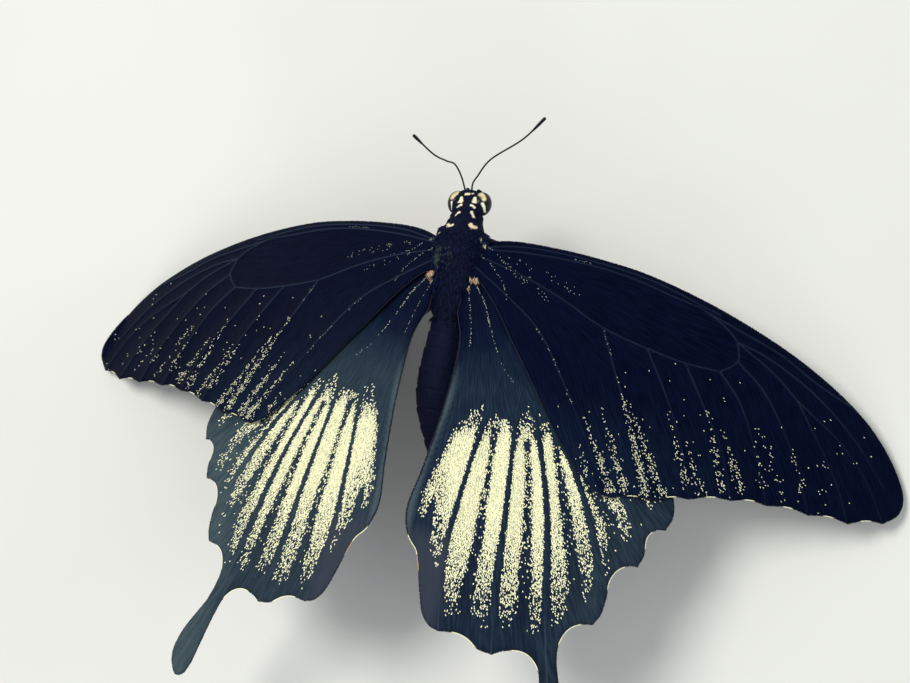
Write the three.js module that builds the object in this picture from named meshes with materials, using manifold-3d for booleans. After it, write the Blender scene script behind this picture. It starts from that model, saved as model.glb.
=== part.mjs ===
// A great swallowtail butterfly with spoon-shaped tails, life size, standing with its wings spread.
// Millimetres. +Y is forward, +X is the insect's right and +Z is up. The feet and the left wing's tip rest on
// z = 0, and the origin is on that floor, under the middle of the insect's box.
//
// Everything is shaped in the insect's own frame, whose origin lies midway between the hindwing bases and
// whose Y axis runs along the body. One group then tilts that frame, head up, and lifts it off the floor.

import * as THREE from "three";
import { mergeVertices } from "three/addons/utils/BufferGeometryUtils.js";
import Module from "manifold-3d";

const wasm = await Module();
wasm.setup();

// ---- Stance ----
const wingBaseHeight = 17.6;
const bodyPitch = THREE.MathUtils.degToRad(8);
const touchGap = 0.3; // between two nodes that meet face to face

// ---- Wing surface: height over the body plane, from the distance out (x) and forward (y) of the base ----
const wingRise = 1.09;
const wingDroop = 0.197; // fall per mm outwards
const wingSlope = 0.2934; // rise per mm rearwards
const wingArch = 0.004064; // extra fall per square mm outwards
const wingTwist = 0.001852;
const wingSag = 0.000636;
const wingStagger = 0.65; // the forewing lies this far above the shared surface, the hindwing as far below
const membraneThickness = 0.5;
const veinHeight = 0.22; // above the membrane on its upper face
const veinDepth = 0.14; // and below it on its lower face
const veinHalfWidth = 0.5;
const wingHinge = new THREE.Vector3(3, 1, 0);

// How far each pair of wings is carried off the shared surface, in degrees: lower at the tip, higher at the
// front, and swung forwards.
const wingCarriage = {
  right: { droop: -0.6, pitch: -0.2, sweep: 0.1 },
  left: { droop: 1.1, pitch: 0.5, sweep: -0.4 },
};

// No two sides are quite alike: each wing's plan is stretched outwards and forwards by these factors, and
// the tail on one side splays further out, by this many mm at its tip.
const wingStretch = {
  right: { forewing: [1, 1], hindwing: [1, 1] },
  left: { forewing: [0.992, 0.977], hindwing: [0.98, 1] },
};
const tailSplay = { right: 0, left: 0.5 };
const tailRoot = -40; // where the tail begins and ends along Y
const tailTip = -52.6;

// ---- Spacing of the wing's mesh points ----
const veinStep = 2.6;
const forewingOutlineStep = 1.5;
const hindwingOutlineStep = 1.1;
const fillStep = 4.2;
const rowRatio = 0.87; // from one staggered row of the fill to the next, in fill steps
const fillGap = 0.42 * fillStep; // the least distances: of a fill point from any other,
const veinGap = 0.6; // of a point on a vein's axis,
const ridgeFootGap = 0.4; // of one beside it,
const outlineGap = 0.55; // and of all of them from the outline
const wobble = { size: 0.003, turn: 12.9 }; // no three points of a row stay in one line

// ---- Forewing plan: x outwards, y forwards ----
const forewingEnds = {
  radial4: [53.3, -20.7],
  radial5: [49.6, -21.25],
  medial1: [45.3, -20.9],
  medial2: [40.7, -20.5],
  medial3: [36.9, -20.5],
  cubital1: [32.5, -21.05],
  cubital2: [28.6, -21.8],
  anal: [24.2, -22.2],
};
const forewingNotchDepth = 0.35;
const forewingCosta = [
  [2.2, 4.2],
  [3.4, 4.9],
  [6.2, 5.5],
  [11.8, 5.45],
  [17, 4.95],
  [22.5, 4],
  [32, 0.9],
  [41.9, -3.9],
  [49.3, -9.3],
  [53.6, -14.6],
  [55, -17.8],
  [54.7, -19.5],
];
const forewingInnerMargin = [
  [23.2, -22.1],
  [21.7, -21.4],
  [18.2, -18.1],
  [14.6, -13.6],
  [12.4, -10.6],
  [9.3, -6.6],
  [5.8, -2.1],
  [3.6, 0],
  [2.2, 0.6],
];
const forewingVeins = {
  radius: [
    [2.4, 3.9], [8.3, 4.3], [14.4, 4.15], [20, 3.4], [25.5, 1.9], [29.5, 0.7], [32.5, -1.2], [33.6, -2.3],
  ],
  radial1: [[29.5, 0.7], [33.5, -0.9], [38.5, -3], [43, -5.7], [48, -8.2]],
  radial4: [[33.6, -2.3], [38.4, -5.4], [41.3, -7.9], [46.9, -12.1], [50.4, -15.9], forewingEnds.radial4],
  radial5: [[41.3, -7.9], [43.6, -11.1], [47.2, -16.3], forewingEnds.radial5],
  cellEnd: [[33.6, -2.3], [34.1, -4.5], [32.5, -6]],
  medial1: [[34.1, -4.5], [37.7, -7.6], [42.8, -15.2], forewingEnds.medial1],
  medial2: [[32.5, -6], [35.3, -9.1], [38.6, -15.2], forewingEnds.medial2],
  cubitus: [[2.4, 3.2], [8, 1.7], [13, -0.2], [18.8, -3], [24.1, -4.6], [28.6, -5.6], [32.5, -6]],
  medial3: [[28.6, -5.6], [31.7, -10.3], [34.5, -14.6], forewingEnds.medial3],
  cubital1: [[24.1, -4.6], [27.1, -9.2], [29.8, -14], forewingEnds.cubital1],
  cubital2: [[18.8, -3], [22, -9.2], [25.2, -14.9], forewingEnds.cubital2],
  anal: [[2.4, 2], [7, -0.9], [11.6, -4.3], [15.5, -9.3], [19.5, -15.3], forewingEnds.anal],
};

// ---- Hindwing plan ----
const hindwingEnds = {
  radial: [30.7, -25],
  medial1: [28.7, -29.5],
  medial2: [25.4, -36.6],
  medial3: [24.6, -51.4],
  cubital1: [15.3, -41.7],
  cubital2: [8.8, -40.2],
};
// The margin's runs, each from one vein end to the next; the first and last meet at the wing base.
const hindwingMargin = [
  [
    [1.8, 0.9], [4.6, 0.9], [8.4, -1.1], [15, -5.4], [22, -11], [27.5, -16.5], [30.4, -20.4], [31.2, -23.3],
    hindwingEnds.radial,
  ],
  [hindwingEnds.radial, [29.7, -25.1], [29, -26], [29.1, -28], hindwingEnds.medial1],
  [
    hindwingEnds.medial1, [27.6, -29.6], [26.6, -30.3], [26.1, -31.6], [26.2, -33.2], [26, -35.4],
    hindwingEnds.medial2,
  ],
  [hindwingEnds.medial2, [24.1, -36.8], [23, -37.5], [22.35, -39.1], [22.5, -41], [23.2, -43.2]],
  [[23.2, -43.2], [25.6, -47.5], [26.15, -49.8], [25.8, -51.3], [24.6, -52.6], [23.4, -52.2], [22.6, -50.6]],
  [
    [22.6, -50.6], [22.1, -48.2], [21.3, -44.6], [20.6, -42.5], [19.5, -41.3], [18.3, -40.85], [16.5, -41.1],
    hindwingEnds.cubital1,
  ],
  [hindwingEnds.cubital1, [13.6, -41.4], [12.2, -40.5], [10.9, -40.1], hindwingEnds.cubital2],
  [hindwingEnds.cubital2, [7.6, -39.8], [6.5, -38.65], [5.6, -36.4], [4.6, -33.2]],
  [[4.6, -33.2], [4, -31.8], [2.7, -30.3], [1.8, -27.5], [2.4, -22.3], [3.1, -14], [2.9, -7], [1.8, -4]],
];
const hindwingVeins = {
  radius: [[4, 0], [6.2, -1.8], [10, -5.9], [15, -11.2], [20.5, -16.5], [26, -21.4], hindwingEnds.radial],
  cellEnd: [[15, -11.2], [15.7, -13.1], [14.4, -13.5], [13, -12.6], [11.3, -11.2]],
  medial1: [[15.7, -13.1], [20.4, -17.2], [23.5, -20], [26, -22.8], [27.6, -25.6], hindwingEnds.medial1],
  medial2: [[14.4, -13.5], [19.8, -20.5], [23.2, -27], [24.9, -32], hindwingEnds.medial2],
  medial3: [[13, -12.6], [17.2, -23.9], [19.4, -33], [20.5, -38], [22.1, -43.8], hindwingEnds.medial3],
  cubitus: [[3.3, -0.5], [4.9, -2.6], [5.8, -4.5], [7.2, -7.1], [8.8, -9.6], [11.3, -11.2]],
  cubital1: [[11.3, -11.2], [12, -18], [13.2, -27], [13.9, -33.5], hindwingEnds.cubital1],
  cubital2: [[8.8, -9.6], [8.2, -15], [7.5, -25], [7.4, -32], hindwingEnds.cubital2],
  anal: [[2.6, -1.3], [3.2, -2.9], [3.9, -5.6], [4.7, -9.5], [4.9, -14], [4.2, -19], [3.7, -25]],
};

// ---- Body: half width r at each y along a form that is round about its own axis ----
const thorax = { axisHeight: -1, flattening: 1.1, stoop: 0.016, stoopStart: 1 };
const thoraxProfile = [
  [-5.6, 0],
  [-5.4, 1.3],
  [-4.2, 2.2],
  [-2, 2.7],
  [0.6, 3.05],
  [3, 3.35],
  [4.6, 3.2],
  [6, 2.55],
  [6.9, 2.2],
  [7.7, 2.05],
  [8.15, 1.5],
  [8.3, 0],
];
const abdomen = { axisHeight: -1.5, flattening: 0.95, segments: 8, ringsEach: 3, grooveDepth: 0.14 };
const abdomenGirth = [
  [-21.4, 0.35],
  [-19.4, 1.3],
  [-17.5, 2.1],
  [-15.5, 2.7],
  [-13.3, 2.95],
  [-11, 2.9],
  [-8, 2.6],
  [-4.6, 2.15],
  [-3.4, 1.8],
];
const head = { centre: [0, 9.25, -1.6], halfSize: [1.95, 1.62, 1.7] };
// The crown reaches back to the collar and out over the inner part of each eye.
const crown = { centre: [0.15, 8.6, -0.85], halfSize: [2.2, 1.4, 1.25] };
// The head is turned a little to its left, so its right eye is the further forward.
const eye = {
  centre: { right: [1.62, 9.25, -1.65], left: [-1.45, 8.98, -1.65] },
  halfSize: [1.17, 1.45, 1.45],
};
const palp = {
  path: [[0.75, 9.5, -2.6], [0.8, 10.2, -3.2], [0.75, 10.75, -2.7], [0.7, 10.85, -2]],
  radius: 0.34,
  taper: 0.45,
};
const proboscis = {
  centre: [0, 9.7, -4.9],
  root: [0, 8.8, -2.5], // inside the head
  turns: 1.6,
  outerRadius: 1.35,
  pitch: 0.62,
  radius: 0.25,
  startAngle: 0.95 * Math.PI,
  stepsPerTurn: 12,
};

// ---- Antennae: each is held its own way, and ends in a club ----
const antennaPaths = {
  right: [
    [0.3, 10.1, -1.3], [0.5, 11.5, -0.5], [1.2, 12.5, 0.1], [2.9, 14.4, 1.7], [7.9, 17.5, 4.8],
    [10.6, 20.1, 6.3],
  ],
  left: [
    [-0.4, 10.1, -1.3], [-0.9, 12.1, -0.1], [-1.3, 13.4, 1.6], [-1.4, 13.6, 4.2], [-1.75, 14, 7.6],
    [-2.35, 15.7, 13.6],
  ],
};
const antenna = { shaftRadius: 0.25, clubRadius: 0.4, clubStart: 0.84, clubTurn: 0.85 * Math.PI };

// ---- Legs: hip, knee and ankle, then where the foot lands and where its toe is, both on the floor ----
const legs = {
  fore: {
    hip: [1.3, 5.3, -3.6],
    knee: [5.2, 4.2, -6.2],
    ankle: [8.4, 3.4, -13.8],
    land: [9.8, 3.1],
    toe: [13, 2],
  },
  mid: {
    hip: [1.5, 1.4, -3.4],
    knee: [7.6, 1.6, -5.6],
    ankle: [11.6, 0.4, -13.8],
    land: [13.4, -0.6],
    toe: [16.9, -2],
  },
  hind: {
    hip: [1.3, -2, -3],
    knee: [6.6, -6.4, -5.4],
    ankle: [9.4, -11.2, -12.6],
    land: [10.8, -13.9],
    toe: [12, -18],
  },
};
const legRadius = { hip: 0.75, femur: 0.5, knee: 0.38, tibia: 0.36, ankle: 0.3, foot: 0.27 };
const footHeight = 0.2; // of the foot's axis, so that its underside is flattened on the floor

// ---- Colours ----
const materials = {
  scales: new THREE.MeshStandardMaterial({ color: 0x0b0f24, roughness: 0.7, metalness: 0 }),
  fur: new THREE.MeshStandardMaterial({ color: 0x0a0e22, roughness: 0.9, metalness: 0 }),
  shell: new THREE.MeshStandardMaterial({ color: 0x080a18, roughness: 0.45, metalness: 0 }),
  lens: new THREE.MeshStandardMaterial({ color: 0x0d0d16, roughness: 0.15, metalness: 0 }),
};

// ---- Solids and geometry ----

function solidOf(geometry) {
  const bare = geometry.clone();
  bare.deleteAttribute("normal");
  bare.deleteAttribute("uv");
  const merged = mergeVertices(bare, 1e-4);
  const index = merged.index.array;
  const corners = [];
  for (let i = 0; i < index.length; i += 3) {
    const [a, b, c] = index.slice(i, i + 3);
    if (a !== b && b !== c && c !== a) corners.push(a, b, c);
  }
  const mesh = new wasm.Mesh({
    numProp: 3,
    vertProperties: new Float32Array(merged.attributes.position.array),
    triVerts: new Uint32Array(corners),
  });
  return new wasm.Manifold(mesh);
}

function geometryOf(solid) {
  const pieces = solid.decompose();
  pieces.sort((a, b) => b.volume() - a.volume());
  const mesh = pieces[0].getMesh();
  const geometry = new THREE.BufferGeometry();
  geometry.setAttribute("position", new THREE.BufferAttribute(mesh.vertProperties, 3));
  geometry.setIndex(new THREE.BufferAttribute(mesh.triVerts, 1));
  geometry.computeVertexNormals();
  return geometry;
}

function cutBy(solid, ...tools) {
  return tools.reduce((rest, tool) => rest.subtract(tool), solid);
}

const vector = (point) => new THREE.Vector3(...point);
const mirrored = ([x, y, z], side) => [side === "left" ? -x : x, y, z];

// The height of the floor in the insect's frame, under a point at the given y.
const floorUnder = (y) => -(wingBaseHeight + y * Math.sin(bodyPitch)) / Math.cos(bodyPitch);

// A form that is round about the Y axis, from its half width at each y, made larger all round by grow. Its
// axis stoops more and more ahead of stoopStart.
function spindle(profile, sides, { axisHeight, flattening, stoop = 0, stoopStart = 0, grow = 0 }) {
  const last = profile.length - 1;
  const points = profile.map(([y, r], i) => {
    const along = i === 0 ? -grow : i === last ? grow : grow * (2 * (i / last) - 1);
    return new THREE.Vector2(r === 0 ? 0 : r + grow, y + along);
  });
  const geometry = new THREE.LatheGeometry(points, sides);
  geometry.scale(1, 1, flattening);
  geometry.translate(0, 0, axisHeight);
  const place = geometry.attributes.position;
  for (let i = 0; i < place.count; i++) {
    place.setZ(i, place.getZ(i) - stoop * Math.max(0, place.getY(i) - stoopStart) ** 2);
  }
  return solidOf(geometry);
}

function ellipsoid(centre, halfSize, grow, across, along) {
  const geometry = new THREE.SphereGeometry(1, across, along);
  geometry.scale(...halfSize.map((half) => half + grow));
  geometry.translate(...centre);
  return solidOf(geometry);
}

// A round tube along a path, with its own radius at each step, closed at both ends. What would lie under
// the floor is flattened on it.
function taperedTube(path, radiusAt, steps, sides) {
  const curve = new THREE.CatmullRomCurve3(path.map(vector), false, "centripetal");
  const frames = curve.computeFrenetFrames(steps);
  const positions = [];
  const index = [];
  for (let i = 0; i <= steps; i++) {
    const centre = curve.getPointAt(i / steps);
    for (let k = 0; k < sides; k++) {
      const angle = (k / sides) * 2 * Math.PI;
      const point = centre.clone();
      point.addScaledVector(frames.normals[i], radiusAt(i / steps) * Math.cos(angle));
      point.addScaledVector(frames.binormals[i], radiusAt(i / steps) * Math.sin(angle));
      positions.push(point.x, point.y, Math.max(point.z, floorUnder(point.y)));
    }
  }
  const ring = (i, k) => i * sides + (k % sides);
  for (let i = 0; i < steps; i++) {
    for (let k = 0; k < sides; k++) {
      index.push(ring(i, k), ring(i, k + 1), ring(i + 1, k));
      index.push(ring(i, k + 1), ring(i + 1, k + 1), ring(i + 1, k));
    }
  }
  for (let k = 1; k < sides - 1; k++) {
    index.push(ring(0, 0), ring(0, k + 1), ring(0, k));
    index.push(ring(steps, 0), ring(steps, k), ring(steps, k + 1));
  }
  const geometry = new THREE.BufferGeometry();
  geometry.setAttribute("position", new THREE.Float32BufferAttribute(positions, 3));
  geometry.setIndex(index);
  return solidOf(geometry);
}

// ---- Plan-view helpers ----

const flatDistance = (a, b) => Math.hypot(a[0] - b[0], a[1] - b[1]);

// Points at about equal steps along a smooth curve through the given ones.
function smooth(points, step) {
  const knots = points.map(([x, y]) => new THREE.Vector3(x, y, 0));
  const curve = new THREE.CatmullRomCurve3(knots, false, "centripetal");
  const count = Math.max(1, Math.round(curve.getLength() / step));
  return curve.getSpacedPoints(count).map((point) => [point.x, point.y]);
}

function distanceToLine(point, line) {
  let nearest = Infinity;
  for (let i = 0; i + 1 < line.length; i++) {
    const [a, b] = [line[i], line[i + 1]];
    const run = [b[0] - a[0], b[1] - a[1]];
    const reach = (point[0] - a[0]) * run[0] + (point[1] - a[1]) * run[1];
    const t = THREE.MathUtils.clamp(reach / (run[0] ** 2 + run[1] ** 2), 0, 1);
    nearest = Math.min(nearest, flatDistance(point, [a[0] + t * run[0], a[1] + t * run[1]]));
  }
  return nearest;
}

function isInside([x, y], outline) {
  let inside = false;
  outline.forEach(([ax, ay], i) => {
    const [bx, by] = outline[(i + 1) % outline.length];
    if (ay > y !== by > y && x < ax + ((y - ay) / (by - ay)) * (bx - ax)) inside = !inside;
  });
  return inside;
}

function circleHolds(point, [a, b, c]) {
  const [ax, ay] = [a[0] - point[0], a[1] - point[1]];
  const [bx, by] = [b[0] - point[0], b[1] - point[1]];
  const [cx, cy] = [c[0] - point[0], c[1] - point[1]];
  const [aa, bb, cc] = [ax * ax + ay * ay, bx * bx + by * by, cx * cx + cy * cy];
  return ax * (by * cc - bb * cy) - ay * (bx * cc - bb * cx) + aa * (bx * cy - by * cx) > 0;
}

// Delaunay triangles over plan points, each counter-clockwise, by adding one point at a time.
function triangulate(points) {
  const far = 1e4;
  const all = [...points, [-far, -far], [far, -far], [0, far]];
  const count = points.length;
  let triangles = [[count, count + 1, count + 2]];
  points.forEach((point, added) => {
    const rim = new Map();
    triangles = triangles.filter((triangle) => {
      if (!circleHolds(point, triangle.map((k) => all[k]))) return true;
      for (let i = 0; i < 3; i++) {
        const [a, b] = [triangle[i], triangle[(i + 1) % 3]];
        if (!rim.delete(b + "," + a)) rim.set(a + "," + b, [a, b]);
      }
      return false;
    });
    for (const [a, b] of rim.values()) triangles.push([a, b, added]);
  });
  return triangles.filter((triangle) => triangle.every((k) => k < count));
}

// ---- Wings ----

const wingHeight = (x, y) =>
  wingRise - wingDroop * x - wingSlope * y - wingArch * x * x - wingTwist * x * y - wingSag * y * y;

// The plan points of a wing's mesh: its outline, three rows along each vein, and a few between the veins.
function wingPoints(outline, veins) {
  const points = outline.map((point) => [...point]);
  const add = (point, gap) => {
    if (!isInside(point, outline)) return;
    if (distanceToLine(point, [...outline, outline[0]]) < outlineGap) return;
    if (points.some((other) => flatDistance(point, other) < gap)) return;
    const shift = wobble.size * Math.sin(wobble.turn * points.length);
    points.push([point[0] + shift, point[1] - shift]);
  };
  for (const vein of veins) vein.forEach((point) => add(point, veinGap));
  for (const vein of veins) {
    for (let i = 0; i + 1 < vein.length; i++) {
      const [from, to] = [vein[i], vein[i + 1]];
      const length = flatDistance(from, to);
      for (const side of [-1, 1]) {
        const across = (side * veinHalfWidth) / length;
        const beside = [from[0] - (to[1] - from[1]) * across, from[1] + (to[0] - from[0]) * across];
        if (veins.every((other) => distanceToLine(beside, other) > 0.9 * veinHalfWidth)) add(beside, ridgeFootGap);
      }
    }
  }
  const xs = outline.map(([x]) => x);
  const ys = outline.map(([, y]) => y);
  let row = 0;
  for (let y = Math.min(...ys); y < Math.max(...ys); y += fillStep * rowRatio, row++) {
    for (let x = Math.min(...xs) + (row % 2) * 0.5 * fillStep; x < Math.max(...xs); x += fillStep) {
      add([x, y], fillGap);
    }
  }
  return points;
}

// One wing as a closed sheet with raised veins, split into the same triangles on both faces.
function wing(outline, veins, rise, stretch, side) {
  const carriage = wingCarriage[side];
  const lines = veins.map((vein) => smooth(vein, veinStep));
  const points = wingPoints(outline, lines);
  const triangles = triangulate(points).filter((triangle) => {
    const middle = [0, 1].map((axis) => triangle.reduce((sum, k) => sum + points[k][axis], 0) / 3);
    return isInside(middle, outline);
  });
  const turn = new THREE.Matrix4().makeRotationFromEuler(
    new THREE.Euler(
      THREE.MathUtils.degToRad(carriage.pitch),
      THREE.MathUtils.degToRad(carriage.droop),
      THREE.MathUtils.degToRad(carriage.sweep),
    ),
  );
  const place = ([planX, planY], lift, clearance) => {
    const alongTail = Math.max(0, (planY - tailRoot) / (tailTip - tailRoot));
    const x = planX * stretch[0] + tailSplay[side] * alongTail;
    const y = planY * stretch[1];
    const point = new THREE.Vector3(x, y, wingHeight(x, y) + rise + lift);
    point.sub(wingHinge).applyMatrix4(turn).add(wingHinge);
    const z = Math.max(point.z, floorUnder(point.y) + clearance);
    return mirrored([point.x, point.y, z], side);
  };
  const ridge = points.map((point) => {
    const nearest = Math.min(...lines.map((line) => distanceToLine(point, line)));
    return Math.max(0, 1 - nearest / veinHalfWidth);
  });
  const half = membraneThickness / 2;
  const upper = points.map((point, i) => place(point, half + veinHeight * ridge[i], membraneThickness));
  const lower = points.map((point, i) => place(point, -half - veinDepth * ridge[i], 0));
  const count = points.length;
  const index = [];
  const open = new Map();
  for (const [a, b, c] of triangles) {
    index.push([a, b, c], [count + a, count + c, count + b]);
    for (const [from, to] of [[a, b], [b, c], [c, a]]) {
      if (!open.delete(to + "," + from)) open.set(from + "," + to, [from, to]);
    }
  }
  for (const [a, b] of open.values()) index.push([a, count + a, count + b], [a, count + b, b]);
  const facing = side === "left" ? index.map(([a, b, c]) => [a, c, b]) : index;
  const geometry = new THREE.BufferGeometry();
  geometry.setAttribute("position", new THREE.Float32BufferAttribute([...upper, ...lower].flat(), 3));
  geometry.setIndex(facing.flat());
  return solidOf(geometry);
}

// An outline from its runs, each smooth in itself and keeping the corners where it meets the next.
const outlineOf = (runs, step) => runs.flatMap((run) => smooth(run, step).slice(0, -1));

// The forewing's runs: the front edge, a shallow notch between each two vein ends, and the hind edge.
function forewingMargin() {
  const ends = Object.values(forewingEnds);
  const scallops = ends.slice(1).map((end, i) => {
    const notch = [(end[0] + ends[i][0]) / 2, (end[1] + ends[i][1]) / 2 + forewingNotchDepth];
    return [ends[i], notch, end];
  });
  return [[...forewingCosta, ends[0]], ...scallops, [ends.at(-1), ...forewingInnerMargin, forewingCosta[0]]];
}

const forewingPlan = outlineOf(forewingMargin(), forewingOutlineStep);
const hindwingBase = [hindwingMargin.at(-1).at(-1), hindwingMargin[0][0]];
const hindwingPlan = outlineOf([...hindwingMargin, hindwingBase], hindwingOutlineStep);

// ---- Body forms, each also wanted a little larger, to cut its neighbours clear of it ----

const thoraxForm = (grow = 0) => spindle(thoraxProfile, 24, { ...thorax, grow });

// Segments swell between their grooves and shrink towards the tip.
function abdomenForm(grow = 0) {
  const curve = new THREE.SplineCurve(abdomenGirth.map(([y, r]) => new THREE.Vector2(y, r)));
  const rings = abdomen.segments * abdomen.ringsEach;
  const profile = curve.getSpacedPoints(rings).map(({ x: y, y: r }, i) => {
    const isGroove = i % abdomen.ringsEach === 0 && i > 0 && i < rings;
    return [y, isGroove ? r - abdomen.grooveDepth : r];
  });
  const [tip, front] = [profile[0][0] - 0.1, profile[rings][0] + 0.1];
  return spindle([[tip, 0], ...profile, [front, 0]], 20, { ...abdomen, grow });
}

const headForm = (grow = 0) => ellipsoid(head.centre, head.halfSize, grow, 24, 16);
const crownForm = (grow = 0) => ellipsoid(crown.centre, crown.halfSize, grow, 24, 14);
const eyeForm = (side, grow = 0) => ellipsoid(eye.centre[side], eye.halfSize, grow, 20, 14);

function antennaForm(side) {
  const { shaftRadius, clubRadius, clubStart, clubTurn } = antenna;
  const radiusAt = (t) => {
    const inClub = Math.max(0, (t - clubStart) / (1 - clubStart));
    return shaftRadius + (clubRadius - shaftRadius) * Math.sin(clubTurn * inClub);
  };
  return taperedTube(antennaPaths[side], radiusAt, 26, 8);
}

function palpForm(side) {
  const path = palp.path.map((point) => mirrored(point, side));
  return taperedTube(path, (t) => palp.radius * (1 - palp.taper * t * t), 9, 8);
}

// The tongue is coiled like a watch spring in the insect's middle plane, under the head.
function proboscisForm() {
  const { centre, root, turns, outerRadius, pitch, radius, startAngle, stepsPerTurn } = proboscis;
  const steps = Math.round(turns * stepsPerTurn);
  const path = [root];
  for (let i = 0; i <= steps; i++) {
    const angle = startAngle + (i / steps) * turns * 2 * Math.PI;
    const reach = outerRadius - (pitch * turns * i) / steps;
    path.push([0, centre[1] + reach * Math.cos(angle), centre[2] + reach * Math.sin(angle)]);
  }
  return taperedTube(path, () => radius, 40, 6);
}

function legForm(name, side) {
  const { hip, knee, ankle, land, toe } = legs[name];
  const onFloor = ([x, y]) => [x, y, floorUnder(y) + footHeight];
  const [ground, tip] = [onFloor(land), onFloor(toe)];
  const between = (a, b, t) => a.map((value, axis) => value + (b[axis] - value) * t);
  const path = [
    between(hip, knee, -0.15),
    between(hip, knee, 0.4),
    between(hip, knee, 0.92),
    between(knee, ankle, 0.08),
    between(knee, ankle, 0.5),
    between(knee, ankle, 0.95),
    between(ankle, ground, 0.25),
    between(ankle, ground, 0.9),
    between(ground, tip, 0.15),
    between(ground, tip, 0.6),
    tip,
  ].map((point) => mirrored(point, side));
  const { hip: root, femur, knee: bend, tibia, ankle: heel, foot } = legRadius;
  const girths = [root, femur * 1.15, femur, bend, tibia, tibia * 0.95, heel, foot, foot, foot, foot * 0.8];
  const radiusAt = (t) => {
    const at = t * (girths.length - 1);
    const i = Math.min(girths.length - 2, Math.floor(at));
    return THREE.MathUtils.lerp(girths[i], girths[i + 1], at - i);
  };
  return taperedTube(path, radiusAt, 30, 8);
}

// ---- The insect ----

const insect = new THREE.Group();
insect.rotation.x = bodyPitch;
insect.position.z = wingBaseHeight;

function addNode(name, solid, material) {
  const mesh = new THREE.Mesh(geometryOf(solid), materials[material]);
  mesh.name = name;
  insect.add(mesh);
}

const thoraxRoom = thoraxForm(touchGap);
const abdomenRoom = abdomenForm(touchGap);
const headRooms = [headForm(touchGap), crownForm(touchGap)];
const eyeRooms = ["right", "left"].map((side) => eyeForm(side, touchGap));

addNode("thorax", thoraxForm(), "fur");
addNode("abdomen", cutBy(abdomenForm(), thoraxRoom), "fur");
addNode("head", cutBy(cutBy(headForm(), ...eyeRooms).add(crownForm()), thoraxRoom), "fur");
addNode("proboscis", cutBy(proboscisForm(), ...headRooms, thoraxRoom), "shell");

for (const side of ["right", "left"]) {
  addNode("eye_" + side, cutBy(eyeForm(side), thoraxRoom, crownForm(touchGap)), "lens");
  addNode("antenna_" + side, cutBy(antennaForm(side), ...headRooms, ...eyeRooms), "shell");
  addNode("palp_" + side, cutBy(palpForm(side), ...headRooms, ...eyeRooms), "fur");
  const stretch = wingStretch[side];
  const fore = wing(forewingPlan, Object.values(forewingVeins), wingStagger, stretch.forewing, side);
  const hind = wing(hindwingPlan, Object.values(hindwingVeins), -wingStagger, stretch.hindwing, side);
  addNode("forewing_" + side, cutBy(fore, thoraxRoom), "scales");
  addNode("hindwing_" + side, cutBy(hind, thoraxRoom, abdomenRoom), "scales");
  for (const name of Object.keys(legs)) {
    addNode(name + "leg_" + side, cutBy(legForm(name, side), thoraxRoom), "shell");
  }
}

// ---- The origin: under the middle of the box ----

const butterfly = new THREE.Group();
butterfly.add(insect);
butterfly.updateMatrixWorld(true);
const middle = new THREE.Box3().setFromObject(butterfly, true).getCenter(new THREE.Vector3());
insect.position.x -= middle.x;
insect.position.y -= middle.y;

export default butterfly;
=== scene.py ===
"""Dresses the solids of a great swallowtail butterfly: scaled wings, furred body, eyes, feelers and legs.

Shapes are worked out in millimetres in the insect's own frame: its origin lies midway between the hindwing
bases, +X is the insect's right, +Y is ahead and +Z is up. Each piece is then set in the frame's metres.
"""

import math

import bpy
import numpy as np
from mathutils import Matrix, Vector
from mathutils.geometry import delaunay_2d_cdt


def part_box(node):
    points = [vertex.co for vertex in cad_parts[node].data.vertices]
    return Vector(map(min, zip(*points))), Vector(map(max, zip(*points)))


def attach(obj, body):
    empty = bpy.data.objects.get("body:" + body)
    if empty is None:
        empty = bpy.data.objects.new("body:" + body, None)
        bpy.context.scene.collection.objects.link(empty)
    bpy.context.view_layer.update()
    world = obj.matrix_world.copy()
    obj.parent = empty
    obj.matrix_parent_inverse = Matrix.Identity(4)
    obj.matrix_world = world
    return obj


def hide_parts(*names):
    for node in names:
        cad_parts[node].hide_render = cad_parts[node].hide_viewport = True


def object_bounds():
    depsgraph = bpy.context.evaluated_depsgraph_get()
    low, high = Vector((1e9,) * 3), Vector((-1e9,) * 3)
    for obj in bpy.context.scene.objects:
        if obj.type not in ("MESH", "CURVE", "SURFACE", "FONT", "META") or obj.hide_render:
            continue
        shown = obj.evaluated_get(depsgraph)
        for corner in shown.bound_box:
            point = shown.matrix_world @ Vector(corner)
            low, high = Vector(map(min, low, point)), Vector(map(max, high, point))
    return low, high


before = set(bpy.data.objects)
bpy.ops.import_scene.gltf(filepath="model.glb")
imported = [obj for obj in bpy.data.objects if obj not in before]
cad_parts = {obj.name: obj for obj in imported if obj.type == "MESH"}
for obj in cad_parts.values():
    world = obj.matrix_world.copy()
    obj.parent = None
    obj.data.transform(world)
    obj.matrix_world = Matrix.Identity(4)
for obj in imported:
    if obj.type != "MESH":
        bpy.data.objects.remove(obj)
solid_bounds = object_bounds()

MM = 0.001
SIDES = ("right", "left")
MIRROR = {"right": np.array([1, 1, 1]), "left": np.array([-1, 1, 1])}

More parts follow.
